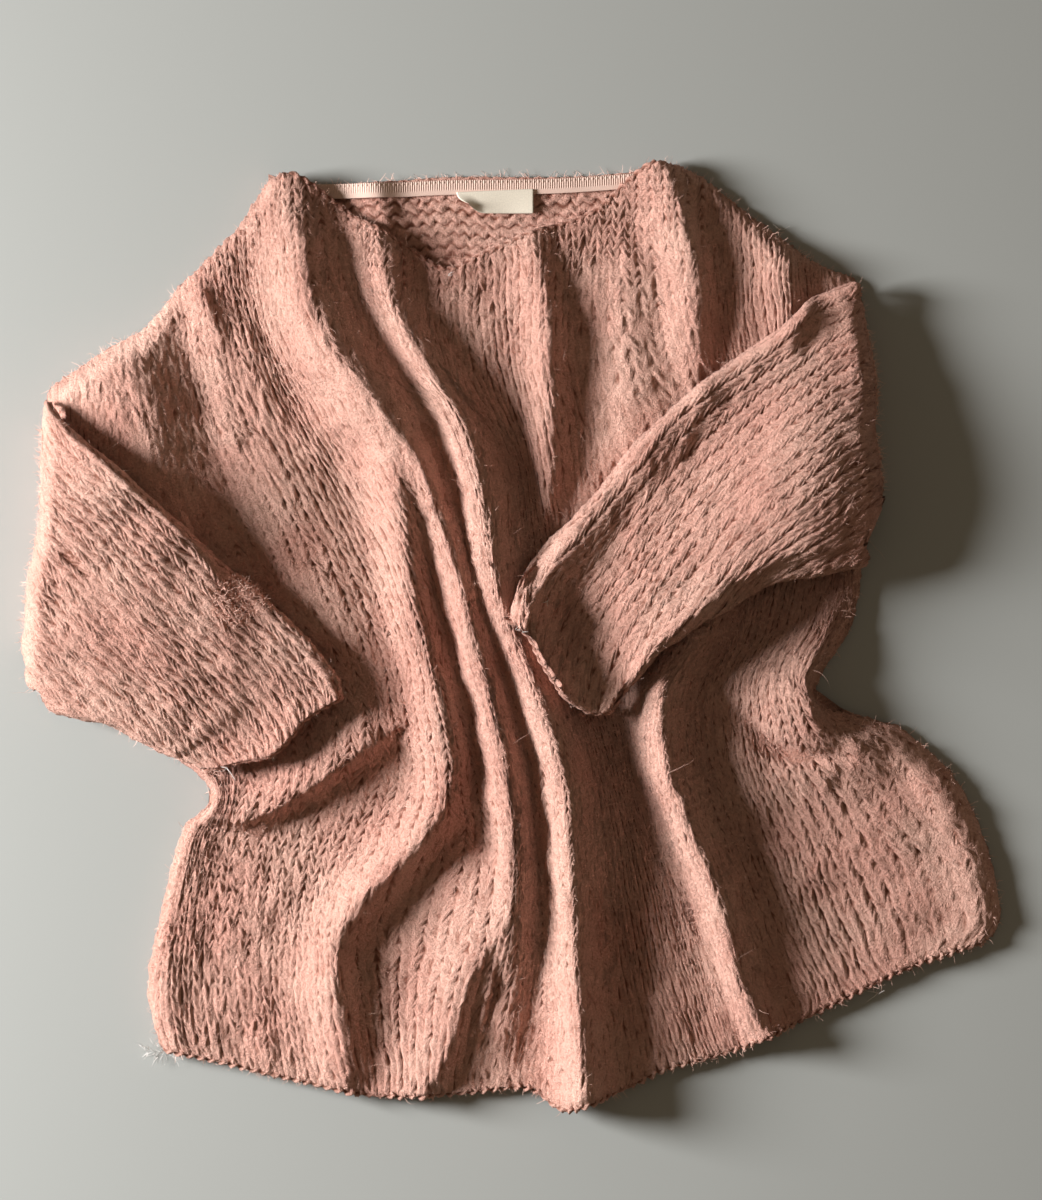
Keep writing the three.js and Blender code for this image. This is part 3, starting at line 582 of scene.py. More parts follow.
def purl_relief(u, v):
    """Height of the wrong side: one wavy ridge for each row."""
    wave = WAVE * np.cos(2 * math.pi * u / WALE)
    phase = (v - wave) / ROW
    stitch = np.round(phase)
    plump = 0.75 + 0.5 * scatter_value(4, np.floor(u / WALE * 2), stitch)
    ridge = 0.5 + 0.5 * np.cos(2 * math.pi * phase)
    return RELIEF * 0.85 * (ridge * plump - 0.5) + 1.5 * (soft_noise(5, u / 3.6, v / 3.2) - 0.5)


print("leg angle from the wale", round(math.degrees(math.atan(1 / LEG_RISE))), "degrees")

# %% [markdown]
# ## A shell of cloth
#
# Every cloth piece is one closed shell: a fine grid for the face that shows, a coarser one for
# the face that doesn't, and the rim between them. Grids come from the grid operator and are
# then laid in place, and the rims are bridged edge by edge, which copes with the two densities.


# %% Shell builder
def lay_grid(bm, columns, rows, place, layers, wrong_side=False):
    """Grid of columns x rows faces laid by place(across, up); returns its vertices by row."""
    made = bmesh.ops.create_grid(bm, x_segments=columns, y_segments=rows, size=0.5)["verts"]
    across, up = np.meshgrid(np.linspace(0, 1, columns + 1), np.linspace(0, 1, rows + 1))
    spots, marks = place(across.ravel(), up.ravel())
    for vert, spot, mark in zip(made, spots.tolist(), marks.tolist()):
        vert.co = spot
        for layer, value in zip(layers, mark):
            vert[layer] = value
    if wrong_side:
        faces = list({face for vert in made for face in vert.link_faces})
        bmesh.ops.reverse_faces(bm, faces=faces)
    return [made[k * (columns + 1):(k + 1) * (columns + 1)] for k in range(rows + 1)]


def sides_of(rows):
    return rows[0], [row[-1] for row in rows], rows[-1], [row[0] for row in rows]


def edges_along(chain):
    found = []
    for a, b in zip(chain, chain[1:]):
        found.extend(edge for edge in a.link_edges if edge.other_vert(a) is b)
    return found


def cloth_shell(name, *shells):
    """Closed shells, each a (face, under) pair of (columns, rows, place)."""
    bm = bmesh.new()
    # The third layer holds how deep each point lies in the stitch relief; the knit finish turns it into
    # painted shade in the hollows.
    layers = [bm.verts.layers.float.new(key) for key in ("cloth_u", "cloth_v", "hollow")]
    for face, under in shells:
        face_rows = lay_grid(bm, *face, layers)
        under_rows = lay_grid(bm, *under, layers, wrong_side=True)
        for upper, lower in zip(sides_of(face_rows), sides_of(under_rows)):
            bmesh.ops.bridge_loops(bm, edges=edges_along(upper) + edges_along(lower))
    bmesh.ops.remove_doubles(bm, verts=bm.verts, dist=WELD)
    bmesh.ops.dissolve_degenerate(bm, edges=bm.edges, dist=0.01)
    return finish_piece(name, bm, layers)


def finish_piece(name, bm, layers):
    """Turn a bmesh in millimetres into an object in metres with its cloth map."""
    u_layer, v_layer, hollow_layer = layers
    cloth_map = bm.loops.layers.uv.new("cloth")
    yarn_map = bm.loops.layers.uv.new("yarn")
    leg_length = math.hypot(1, LEG_RISE) * WALE / 2
    for face in bm.faces:
        face.smooth = True
        middle = sum(vert[u_layer] for vert in face.verts) / len(face.verts)
        leg = math.floor(middle / (WALE / 2))
        for loop in face.loops:
            u, v = loop.vert[u_layer], loop.vert[v_layer]
            across = abs((u / WALE) % 1 - 0.5) * 2
            loop[cloth_map].uv = (u, v)
            loop[yarn_map].uv = (v - LEG_RISE * across * WALE / 2, across * leg_length + 37 * leg)
    bmesh.ops.recalc_face_normals(bm, faces=bm.faces)
    if bm.calc_volume(signed=True) < 0:
        bmesh.ops.reverse_faces(bm, faces=bm.faces)
    bmesh.ops.scale(bm, vec=(MM, MM, MM), verts=bm.verts)
    mesh = bpy.data.meshes.new(name)
    bm.to_mesh(mesh)
    open_edges = sum(len(edge.link_faces) < 2 for edge in bm.edges)
    crowded_edges = sum(len(edge.link_faces) > 2 for edge in bm.edges)
    bm.free()
    piece = bpy.data.objects.new(name, mesh)
    bpy.context.scene.collection.objects.link(piece)
    triangles = sum(len(p.vertices) - 2 for p in mesh.polygons)
    print(f"{name}: {triangles} triangles, {open_edges} open edges, {crowded_edges} with three faces or more")
    return piece


def on_surface(lie, u, v, height):
    """Points at a height over a smooth surface, along its normal."""
    step = 0.6
    middle = lie(u, v)
    along_u = lie(u + step, v) - lie(u - step, v)
    along_v = lie(u, v + step) - lie(u, v - step)
    normal = np.cross(along_u, along_v)
    normal /= np.maximum(np.linalg.norm(normal, axis=1), 1e-9)[:, None]
    return middle + normal * height[:, None]


# %% [markdown]
# ## The front
#
# Each wale is six faces wide, with two faces for every row. The relief dies out at the very
# edges, where the bound-off stitches and the folds take over. The hip is cut wider than its
# plan shows, so its stitches are counted more densely than their distance across.

# %% Front panel
FOLD_EXTRA = FOLD_RADIUS * (math.pi / 2 - 1)
WALL = 4.2  # the cloth under its stitches
ACROSS_FINE = 6
ALONG_FINE = 2
CUTS_AT = (-20, 0, 175, 230, 560, 620, 690, 710)
STITCHES_AT = (-20, 0, 175, 241, 571, 646, 744, 772)
EDGE_FADE = 12


def front_extent(u):
    over_shoulder = (u < NECK_CUTS[0]) | (u > NECK_CUTS[1])
    return top_of_cloth(u) + np.where(over_shoulder, FOLD_EXTRA, 0)


def front_cloth(across, up, rows, shear):
    """Cloth coordinates of a grid point, with the grid sheared along the legs and cut to shape."""
    ends = np.interp((-FOLD_EXTRA, FRONT_WIDTH + FOLD_EXTRA), CUTS_AT, STITCHES_AT)
    stitches = ends[0] + across * (ends[1] - ends[0])
    u = np.interp(stitches, STITCHES_AT, CUTS_AT)
    tallest = rows * ROW
    v = (up * (tallest + LEG_RISE * WALE / 2) - LEG_RISE * WALE / 2
         + shear * LEG_RISE * across_wale(stitches) * WALE / 2)
    return u, np.clip(v, 0, front_extent(u)), stitches


def front_face(across, up):
    u, v, stitches = front_cloth(across, up, FRONT_ROWS, 1)
    height = knit_relief(stitches, v)
    inside = np.prod([ease(margin, 0, EDGE_FADE) for margin in (u, FRONT_WIDTH - u, v, front_extent(u) - v)],
                     axis=0)
    moved_u, moved_v = wandered(u, v)
    spots = on_surface(front_lie, u + inside * (moved_u - u), v + inside * (moved_v - v),
                       height + inside * lumps(u, v))
    return spots, np.column_stack([stitches, v, -height])


def front_under(across, up):
    u, v, stitches = front_cloth(across, up, FRONT_ROWS, 0)
    spots = on_surface(front_lie, u, v, np.full(len(u), -WALL))
    spots[:, 2] = np.maximum(spots[:, 2], 1.0)
    return spots, np.column_stack([stitches, v, np.full(len(u), 0.5)])


FRONT_ROWS = int(math.ceil((top_of_cloth(edge_cuts).max() + FOLD_EXTRA) / ROW)) + 1
front_columns = int(round((STITCHES_AT[-2] + 2 * FOLD_EXTRA) / WALE)) * ACROSS_FINE
front_panel = cloth_shell(
    "front_panel_knit",
    ((front_columns, (FRONT_ROWS + 1) * ALONG_FINE, front_face),
     (front_columns // ACROSS_FINE, FRONT_ROWS // 3, front_under)),
)

# %% [markdown]
# ## A patch between four lines
#
# The back and the sleeves lie flat enough to be laid out between their four edges: each inner
# point is a blend of the edges around it.


# %% Patch between four lines
def patch(left, right, start, end):
    """Plan between four smooth lines; left and right run from start to end."""
    left, right, start, end = (smooth_line(line) for line in (left, right, start, end))

    def at(line, share):
        return place_at(line, share * run_of(line)[-1])

    def plan(across, along):
        w = across[:, None]
        t = along[:, None]
        corners = ((1 - t) * ((1 - w) * start[0] + w * start[-1]) + t * ((1 - w) * end[0] + w * end[-1]))
        return ((1 - w) * at(left, along) + w * at(right, along) + (1 - t) * at(start, across)
                + t * at(end, across) - corners)

    return plan


# %% [markdown]
# ## The back
#
# The back lies flat, right side down. Only its wrong side shows, above the front's neckline,
# so the fine rows are there: the hidden rest has only three tenths of the grid's rows.

# %% Back panel
BACK_INSET = 4.0
BACK_ROWS = 94
BACK_WALES = 69
NECK_ROWS = 15
HIDDEN_SHARE = 0.3
top_line = np.vstack([left_shoulder[:-1], neck_edge, right_shoulder[1:]])
back_plan = patch(FRONT_WALES[0][::-1], FRONT_WALES[690][::-1], hem_edge[::3], top_line[::2])


def inset_back(xy):
    """Draw the back in a little at its joined edges and the hem."""
    for line in (wale_lines[0], wale_lines[-1], hem_edge, left_shoulder, right_shoulder):
        distance, inwards = from_edge(line, (0, 0), xy, overrun=10.0)
        push = np.clip(BACK_INSET - distance, 0, BACK_INSET)
        xy = xy + np.where(np.abs(distance) < 3 * BACK_INSET, push, 0)[:, None] * inwards
    return xy


def neck_ripple(x, y):
    """The back rises in one soft fold inside the neck."""
    middle = -101 + 0.25 * (330 - y)
    reach = np.where(x < middle, 20.0, 14.0)
    return 7.5 * np.exp(-(((x - middle) / reach) ** 2)) * ease(y, 286, 306)


def back_point(across, up, z):
    u, v = across * FRONT_WIDTH, up * BACK_ROWS * ROW
    moved_u, moved_v = wandered(u, v)
    inside = ease(across, 0, 0.03) * ease(1 - across, 0, 0.03) * ease(up, 0, 0.03) * ease(1 - up, 0, 0.03)
    xy = inset_back(back_plan(across + inside * (moved_u - u) / FRONT_WIDTH,
                              up + inside * (moved_v - v) / (BACK_ROWS * ROW)))
    return np.column_stack([xy, z + neck_ripple(xy[:, 0], xy[:, 1])])


def back_face(across, up):
    neck = NECK_ROWS / BACK_ROWS
    share = np.where(up < HIDDEN_SHARE, up / HIDDEN_SHARE * (1 - neck),
                     1 - neck * (1 - (up - HIDDEN_SHARE) / (1 - HIDDEN_SHARE)))
    u, v = across * FRONT_WIDTH, share * BACK_ROWS * ROW
    fine = ease(share, 0.8, 0.86)
    wave = WAVE * np.cos(2 * math.pi * u / WALE)
    lift = purl_relief(u, v + wave) * fine
    shifted = share + fine * wave / (BACK_ROWS * ROW)
    edge = ease(across, 0, 0.01) * ease(1 - across, 0, 0.01) * ease(1 - share, 0, 0.006)
    z = BACK_TOP - 0.6 + lift * edge
    return back_point(across, np.clip(shifted, 0, 1), z), np.column_stack([u, v, -lift])


def back_outside(across, up):
    u, v = across * FRONT_WIDTH, up * BACK_ROWS * ROW
    rise = LEG_RISE * across_wale(u) * WALE / 2
    height = knit_relief(u, v + rise)
    z = np.clip(1.1 - height, 0.02, 2.6)
    shifted = np.clip(up + rise / (BACK_ROWS * ROW), 0, 1)
    return back_point(across, shifted, z), np.column_stack([u, v, -height])


back_panel = cloth_shell(
    "back_panel_knit",
    ((BACK_WALES * ACROSS_FINE, 62, back_face), (BACK_WALES * 4, BACK_ROWS * ALONG_FINE, back_outside)),
)

# %% [markdown]
# ## The sleeves
#
# A sleeve's wales run parallel to its upper folded edge. Those nearest that edge reach the
# cuff, and the others run out into the lower fold, where the tube tapers. The upper layer is
# laid out a little past its folds and rolled over them. At the outer fold it turns right down
# to the table, because that is where it comes round from the back. The lower layer is hidden,
# so it is a plain, flat lining to the upper one.


# %% Sleeve builder
def shifted_out(points, inner, amount):
    """A line moved bodily away from the inside of its piece."""
    line = np.array(points, float)
    steps = np.gradient(line, axis=0)
    normal = np.column_stack([-steps[:, 1], steps[:, 0]])
    normal /= np.linalg.norm(normal, axis=1)[:, None]
    if (normal * (np.array(inner) - line)).sum() > 0:
        normal = -normal
    return line + amount * normal


def corner_of(line_a, line_b):
    """Where the straight ends of two lines would cross: last span of a, first span of b."""
    p, r = line_a[-1], line_a[-1] - line_a[-2]
    q, s = line_b[0], line_b[1] - line_b[0]
    cross = r[0] * s[1] - r[1] * s[0]
    if abs(cross) < 1e-6 * np.linalg.norm(r) * np.linalg.norm(s):
        return (p + q) / 2
    return p + r * ((q - p)[0] * s[1] - (q - p)[1] * s[0]) / cross


def rounded(xy, corner, inner, radius=9.0):
    """Draw points that stick out at a corner in to a round one."""
    inwards = np.array(inner) - corner
    centre = corner + 1.35 * radius * inwards / np.linalg.norm(inwards)
    offset = xy - centre
    distance = np.maximum(np.linalg.norm(offset, axis=1), 1e-6)
    outside = (offset @ inwards < -0.2 * distance * np.linalg.norm(inwards)) & (distance < 8 * radius)
    share = np.where(outside & (distance > radius), radius / distance, 1.0)
    return centre + offset * share[:, None]


class Sleeve:
    """Plan and lie of one flattened sleeve."""

    ROOT_RADIUS = 15.0
    EDGE_TURN = math.radians(165)
    EDGE_REACH = 30.0
    ROOT_REACH = 40.0
    CROWN = 5.0
    CORNER_DROP = 6.0
    RIM = 1.0

    def __init__(self, lines, facing):
        self.facing = facing
        self.lines = {key: smooth_line(lines[key]) for key in ("upper", "lower", "root", "cuff")}
        self.inner = np.vstack([self.lines["upper"], self.lines["lower"]]).mean(0)
        self.cut, self.cuff_cut = lines["cut"], lines["cuff_cut"]
        self.folds = lines["folds"]
        self.edge_extra = SLEEVE_HALF * (self.EDGE_TURN - 1)
        self.root_extra = self.ROOT_RADIUS * (math.pi / 2 - 1)
        outer = {key: shifted_out(lines[key], self.inner, extra) for key, extra in (
            ("upper", self.edge_extra), ("lower", self.edge_extra), ("root", self.root_extra), ("cuff", 0.0))}
        outer["upper"][0] = outer["root"][0] = corner_of(outer["upper"][::-1], outer["root"])
        outer["upper"][-1] = outer["cuff"][0] = corner_of(outer["upper"], outer["cuff"])
        outer["lower"][0] = outer["root"][-1] = corner_of(outer["lower"][::-1], outer["root"][::-1])
        outer["lower"][-1] = outer["cuff"][-1] = corner_of(outer["lower"], outer["cuff"][::-1])
        self.outer = outer
        self.plan = patch(outer["upper"], outer["lower"], outer["root"], outer["cuff"])

    def lie(self, across, along):
        """Smooth face of the upper layer at shares across and along the sleeve."""
        xy = self.plan(across, along)
        flat = xy.copy()
        drop = np.zeros(len(xy))
        for key in ("upper", "lower"):
            distance, _ = from_edge(self.lines[key], self.inner, xy)
            near = distance < self.EDGE_REACH
            xy[near], angle = roll(xy[near], self.lines[key], self.inner, SLEEVE_HALF, self.EDGE_TURN)
            drop[near] += SLEEVE_HALF * (1 - np.cos(angle))
        crown = self.CROWN * np.sin(math.pi * np.clip(across, 0, 1))
        ridge = fold_height(self.folds, *flat.T)
        support = read_map(support_map, *flat.T)
        z = support + SLEEVE_LIFT + 2 * SLEEVE_HALF + crown + ridge - drop
        for corner in (self.lines["root"][0], self.lines["root"][-1]):
            xy = rounded(xy, corner, self.inner)
        curl = ease(np.minimum(across, 1 - across), 0.05, 0.2)
        distance, _ = from_edge(self.lines["root"], self.inner, xy)
        near = distance < self.ROOT_REACH
        xy[near], angle = roll(xy[near], self.lines["root"], self.inner, self.ROOT_RADIUS)
        z[near] -= (z[near] - self.RIM) * (1 - np.cos(angle)) * curl[near]
        z[near] -= (1 - curl[near]) * np.minimum(self.CORNER_DROP, z[near] - self.RIM) * (1 - np.cos(angle))
        return np.column_stack([xy, np.maximum(z, 0.9 * self.RIM)])

    def build(self, name):
        """Upper layer rolled round its folds, and the lower layer tucked inside it."""
        corners = self.cut_corners()
        low_u, high_u = corners[:, :, 0].min(), corners[:, :, 0].max()
        low_v, high_v = corners[:, :, 1].min(), corners[:, :, 1].max()
        shear_reach = LEG_RISE * WALE / 2
        end_line = np.array([corners[0, 1], corners[1, 1], corners[1, 0]])
        root_line = np.array([corners[0, 0], corners[1, 0]])

        def cloth(across, up, shear):
            u = low_u + across * (high_u - low_u)
            v = low_v - shear_reach + up * (high_v - low_v + shear_reach)
            v = v + shear * LEG_RISE * across_wale(u) * WALE / 2
            first = np.interp(u, *root_line.T)
            last = np.maximum(np.interp(u, *end_line.T), first)
            return u, np.clip(v, first, last)

        def smooth(u, v):
            return self.lie(*self.shares_of(u, v, corners))

        def face(across, up):
            u, v = cloth(across, up, 1)
            strand, fall = u + 3 * WALE, -v
            height = knit_relief(strand, fall)
            inside = ease(u - low_u, 0, 10) * ease(v, 0, 10) * ease(np.interp(u, *end_line.T) - v, 0, 10)
            moved_strand, moved_fall = wandered(strand, fall)
            spots = on_surface(smooth, u + inside * (moved_strand - strand), v - inside * (moved_fall - fall),
                               self.facing * (height + inside * lumps(strand, fall)))
            spots[:, 2] = np.maximum(spots[:, 2], 0.6 * self.RIM)
            return spots, np.column_stack([u, fall, -height])

        def under(across, up):
            u, v = cloth(across, up, 0)
            spots = on_surface(smooth, u, v, np.full(len(u), -self.facing * WALL))
            spots[:, 2] = np.maximum(spots[:, 2], self.RIM)
            return spots, np.column_stack([u, -v, np.full(len(u), 0.5)])

        columns = int(round((high_u - low_u) / WALE))
        rows = int(round((high_v - low_v) / ROW))
        upper = ((columns * 8, rows * 3, face), (columns * 2, rows, under))
        return cloth_shell(name, upper, self.lower_layer())

    def cut_corners(self):
        """Corners of the layer on the cloth: [across][along], rolled margins included."""
        upper, lower, root_run = (run_of(smooth_line(self.outer[key]))[-1]
                                  for key in ("upper", "lower", "root"))
        scale = root_run / run_of(self.lines["root"])[-1]
        width, cuff = self.cut * scale, self.cuff_cut * scale
        slant = math.sqrt(max(root_run**2 - width**2, 1.0))
        lower_end = slant + math.sqrt(lower**2 - (width - cuff) ** 2)
        return np.array([[(0, 0), (0, upper)], [(width, slant), (cuff, lower_end)]])

    def shares_of(self, u, v, corners):
        """Shares across and along for cloth points, by a few Newton steps."""
        across = np.full(len(u), 0.5)
        along = np.full(len(u), 0.5)
        for _ in range(12):
            near = (1 - along)[:, None] * corners[0, 0] + along[:, None] * corners[0, 1]
            far = (1 - along)[:, None] * corners[1, 0] + along[:, None] * corners[1, 1]
            spot = (1 - across)[:, None] * near + across[:, None] * far
            by_across = far - near
            by_along = ((1 - across)[:, None] * (corners[0, 1] - corners[0, 0])
                        + across[:, None] * (corners[1, 1] - corners[1, 0]))
            miss = np.column_stack([u, v]) - spot
            det = by_across[:, 0] * by_along[:, 1] - by_across[:, 1] * by_along[:, 0]
            across = across + (miss[:, 0] * by_along[:, 1] - miss[:, 1] * by_along[:, 0]) / det
            along = along + (by_across[:, 0] * miss[:, 1] - by_across[:, 1] * miss[:, 0]) / det
        return across, along

    def lower_layer(self):
        """A flat pair of grids inside the folds, as places for the shell builder."""
        inset = [shifted_out(self.lines[key][::10], self.inner, -6.5) for key in ("upper", "lower", "root")]
        plan = patch(*inset, self.lines["cuff"][::10])

        def layer(height):
            def place(across, up):
                xy = plan(0.04 + 0.92 * across, 0.03 + 0.97 * up)
                z = read_map(support_map, xy[:, 0], xy[:, 1]) + SLEEVE_LIFT + height
                spots = np.column_stack([xy, np.maximum(z, self.RIM + height)])
                return spots, np.column_stack([across * self.cut, up * 300, np.full(len(z), 0.5)])
            return place

        return (20, 30, layer(4.4)), (20, 30, layer(0.2))


left_lie = Sleeve(LEFT_SLEEVE, 1)
right_lie = Sleeve(RIGHT_SLEEVE, -1)
left_sleeve = left_lie.build("left_sleeve_knit")
right_sleeve = right_lie.build("right_sleeve_knit")

# %% [markdown]
# ## Bound-off edges
#
# A knitter ends a piece by binding off, which leaves a row of linked loops, like a plait, along
# the edge. It is modelled as a plump cord with the same V relief, half sunk in the edge. The hem
# has been worn the most, so its loops are the most uneven.

# %% Bound-off edges
LOOP_PITCH = 8.2
FACES_PER_LOOP = 5
FACES_AROUND = 14
LOOP_LEAN = 4.0
CUFF_POINTS = 40


def bound_edge(name, path, radius, uneven, seed):
    """Cord of linked loops along a path of points in millimetres."""
    run = np.r_[0, np.cumsum(np.linalg.norm(np.diff(path, axis=0), axis=1))]
    steps = int(run[-1] / (LOOP_PITCH / FACES_PER_LOOP))
    bm = bmesh.new()
    layers = [bm.verts.layers.float.new(key) for key in ("cloth_u", "cloth_v", "hollow")]

    def place(across, up):
        turn = across * 2 * math.pi
        shear = np.abs(np.abs(turn - math.pi) - math.pi / 2) / (math.pi / 2)
        distance = up * run[-1]
        behind, middle, ahead = (np.stack([np.interp(distance + step, run, path[:, k]) for k in range(3)], -1)
                                 for step in (-1, 0, 1))
        along = ahead - behind
        along /= np.linalg.norm(along, axis=1)[:, None]
        side = np.cross(along, (0, 0, 1.0))
        side /= np.linalg.norm(side, axis=1)[:, None]
        rise = np.cross(side, along)
        phase = (distance + LOOP_LEAN * shear) / LOOP_PITCH
        chance_of_loop = scatter_value(seed, np.floor(phase), np.floor(turn / math.pi) % 2)
        plump = 1 + 3.5 * uneven * (chance_of_loop - 0.5)
        swell = radius * (0.80 + uneven * np.cos(2 * math.pi * phase) * plump - 0.10 * (1 - shear) ** 2)
        swell = swell * np.where((up < 0.001) | (up > 0.999), 0.4, 1.0)
        spots = middle + side * (np.cos(turn) * swell)[:, None] + rise * (np.sin(turn) * swell)[:, None]
        # The third mark grows where the cord is thinner, between its loops, so the finish paints shade into
        # those waists.
        return spots, np.column_stack([turn * radius, distance, (radius - swell) * 0.8])

    rows = lay_grid(bm, FACES_AROUND, steps, place, layers)
    for end in (rows[0], rows[-1]):
        bm.faces.new(end[:-1] if end is rows[0] else end[:-1][::-1])
    bmesh.ops.remove_doubles(bm, verts=bm.verts, dist=WELD)
    return finish_piece(name, bm, layers)


def edge_path(cuts, from_top, sink):
    """Points along the front's neckline or hem, sunk below its face."""
    cuts = np.array(cuts, float)
    v = top_of_cloth(cuts) if from_top else np.zeros_like(cuts)
    spots = front_lie(cuts, v)
    spots[:, 2] -= sink
    return spots


def cuff_path(sleeve, sink):
    """Points along a sleeve's end, sunk below its face."""
    spots = sleeve.lie(np.linspace(0.06, 0.94, CUFF_POINTS), np.ones(CUFF_POINTS))
    spots[:, 2] -= sink
    return spots


neck_path = edge_path(np.linspace(NECK_CUTS[0] + 6, NECK_CUTS[1] - 6, 90), True, 1.4)
hem_path = edge_path(np.linspace(2, FRONT_WIDTH - 2, 200), False, 2.0)
neck_roll = bound_edge("neck_edge_knit", neck_path, 2.9, uneven=0.24, seed=1)
hem_roll = bound_edge("hem_edge_knit", hem_path, 2.8, uneven=0.5, seed=2)
left_cuff = bound_edge("left_cuff_knit", cuff_path(left_lie, 3.0), 2.7, uneven=0.18, seed=3)
right_cuff = bound_edge("right_cuff_knit", cuff_path(right_lie, 3.0), 2.7, uneven=0.18, seed=4)

# %% [markdown]
# ## A snag
#
# A thread has been caught near the left sleeve's outer fold. It pulled a short line of stitches
# tight, which draws the cloth down there, and the line is darkened with painted shade.

# %% Snag
UPPER_LAYER = 12.0


def corners_of(piece):
    """A mesh's points in millimetres."""
    spots = np.empty(len(piece.data.vertices) * 3)
    piece.data.vertices.foreach_get("co", spots)
    return spots.reshape(-1, 3) / MM


def pulled_stitch(piece, start, end, width, depth):
    """Cloth drawn down along a short line."""
    spots = corners_of(piece)
    a, b = np.array(start, float), np.array(end, float)
    share = np.clip((spots[:, :2] - a) @ (b - a) / ((b - a) @ (b - a)), 0, 1)
    away = np.linalg.norm(spots[:, :2] - a - share[:, None] * (b - a), axis=1)
    pull = np.exp(-((away / width) ** 2)) * (spots[:, 2] > UPPER_LAYER)
    spots[:, 2] -= depth * pull
    piece.data.vertices.foreach_set("co", (spots * MM).ravel())
    hollow = piece.data.attributes["hollow"].data
    values = np.empty(len(hollow))
    hollow.foreach_get("value", values)
    # Painted shade: the shade value is raised along the line, so the finish darkens it.
    hollow.foreach_set("value", values + 1.5 * pull)
    piece.data.update()
    print("stitches drawn down over", round(float(np.linalg.norm(b - a))), "mm")


pulled_stitch(left_sleeve, (-332, 60), (-313, 43), width=2.6, depth=2.2)

# %% [markdown]
# ## Loose fibres
#
# Brushed yarn sheds a haze of fine fibres, some of them long. Each one here is a thin, curling
# three-sided thread. They are made in bulk from arrays, rooted at random on the faces of the
# cloth, and are drawn several times thicker than life so that they show at all.

# %% Fibre builder
FIBRE_LOWEST = 0.4
FIBRE_HIGHEST = 66.0


def fibre_mesh(name, roots, heads, lengths, thick, joints, wild, seed):
    """One mesh of curling threads: roots and first directions as arrays, in millimetres."""
    draw = np.random.default_rng(seed)
    count = len(roots)
    spots = [roots]
    heading = heads / np.linalg.norm(heads, axis=1)[:, None]
    bend = draw.normal(0, wild, (count, 3))
    for _ in range(joints):
        heading = heading + bend + draw.normal(0, wild * 0.6, (count, 3))
        heading /= np.linalg.norm(heading, axis=1)[:, None]
        spots.append(spots[-1] + heading * (lengths / joints)[:, None])
    path = np.stack(spots, 1)
    path[:, :, 2] = np.clip(path[:, :, 2], FIBRE_LOWEST, FIBRE_HIGHEST)
    along = path[:, 1] - path[:, 0]
    along /= np.linalg.norm(along, axis=1)[:, None]
    side = np.cross(along, draw.normal(0, 1, (count, 3)))
    side /= np.linalg.norm(side, axis=1)[:, None]
    other = np.cross(along, side)
    rings = []
    for k in range(joints + 1):
        radius = thick * (1 - 0.6 * k / joints)
        for turn in (0, 2 * math.pi / 3, 4 * math.pi / 3):
            rings.append(path[:, k] + radius * (math.cos(turn) * side + math.sin(turn) * other))
    verts = np.stack(rings, 1)
    quads = [(3 * k + i, 3 * k + (i + 1) % 3, 3 * k + 3 + (i + 1) % 3, 3 * k + 3 + i)
             for k in range(joints) for i in range(3)]
    ends = [(2, 1, 0), (3 * joints, 3 * joints + 1, 3 * joints + 2)]
    first = (np.arange(count) * 3 * (joints + 1))[:, None]
    faces = [face for quad in quads for face in (first + np.array(quad)).tolist()]
    faces += [face for end in ends for face in (first + np.array(end)).tolist()]
    mesh = bpy.data.meshes.new(name)
    mesh.from_pydata((verts.reshape(-1, 3) * MM).tolist(), [], faces)
    mesh.update()
    piece = bpy.data.objects.new(name, mesh)
    bpy.context.scene.collection.objects.link(piece)
    print(f"{name}: {count} fibres, {count * (joints * 6 + 2)} triangles")
    return piece

# %% [markdown]
# ## The haze
#
# Short fibres grow all over, and more of them along the edges, where they show against the
# floor. A few hundred long hairs stray across the whole garment.


# %% Haze of fibres
def face_values(piece, what, size):
    """One value or vector for each face of a piece."""
    values = np.empty(len(piece.data.polygons) * size)
    piece.data.polygons.foreach_get(what, values)
    return values.reshape(-1, size)


def rooted(pieces, count, seed, rim=False, place=None):
    """Roots and directions picked on the shown faces, only on rims, or near one place."""
    centres, normals, areas = (np.vstack([face_values(piece, what, size) for piece in pieces])
                               for what, size in (("center", 3), ("normal", 3), ("area", 1)))
    centres = centres / MM
    shown = (normals[:, 2] > -0.15) & (centres[:, 2] > 1.5)
    if rim:
        shown &= (normals[:, 2] < 0.35) & (centres[:, 2] < 17)
    if place:
        shown &= np.hypot(centres[:, 0] - place[0], centres[:, 1] - place[1]) < place[2]
    draw = np.random.default_rng(seed)
    odds = areas[:, 0] * shown
    picked = draw.choice(len(odds), count, p=odds / odds.sum())
    sideways = draw.normal(0, 1, (count, 3))
    heads = normals[picked] * draw.uniform(0.3, 1.3, (count, 1)) + 0.8 * sideways
    return centres[picked], heads, draw.uniform(0, 1, count)


cloth_pieces = (front_panel, back_panel, left_sleeve, right_sleeve)
edge_cords = (hem_roll, neck_roll, left_cuff, right_cuff)
roots, heads, chances = rooted(cloth_pieces, 9800, 31)
short_fuzz = fibre_mesh("short_fuzz", roots, heads, 2.5 + 5 * chances, 0.10, 3, 0.5, 32)
roots, heads, chances = rooted(cloth_pieces + edge_cords, 9500, 33, rim=True)
rim_fuzz = fibre_mesh("rim_fuzz", roots, heads, 3 + 6 * chances**2, 0.17, 3, 0.35, 34)
roots, heads, chances = rooted(cloth_pieces, 420, 35)
long_strays = fibre_mesh("long_strays", roots, heads, 10 + 20 * chances**2, 0.10, 9, 0.25, 36)

# %% [markdown]
# ## The darn and the loose ends
#
# A darn worked in the garment's own yarn hardly shows: it is a round spot, about 38 mm across,
# where the nap is thicker. Ends of paler thread stand out here and there, a wisp hangs from the
# left corner of the hem, and a small knot sits on the left cuff.

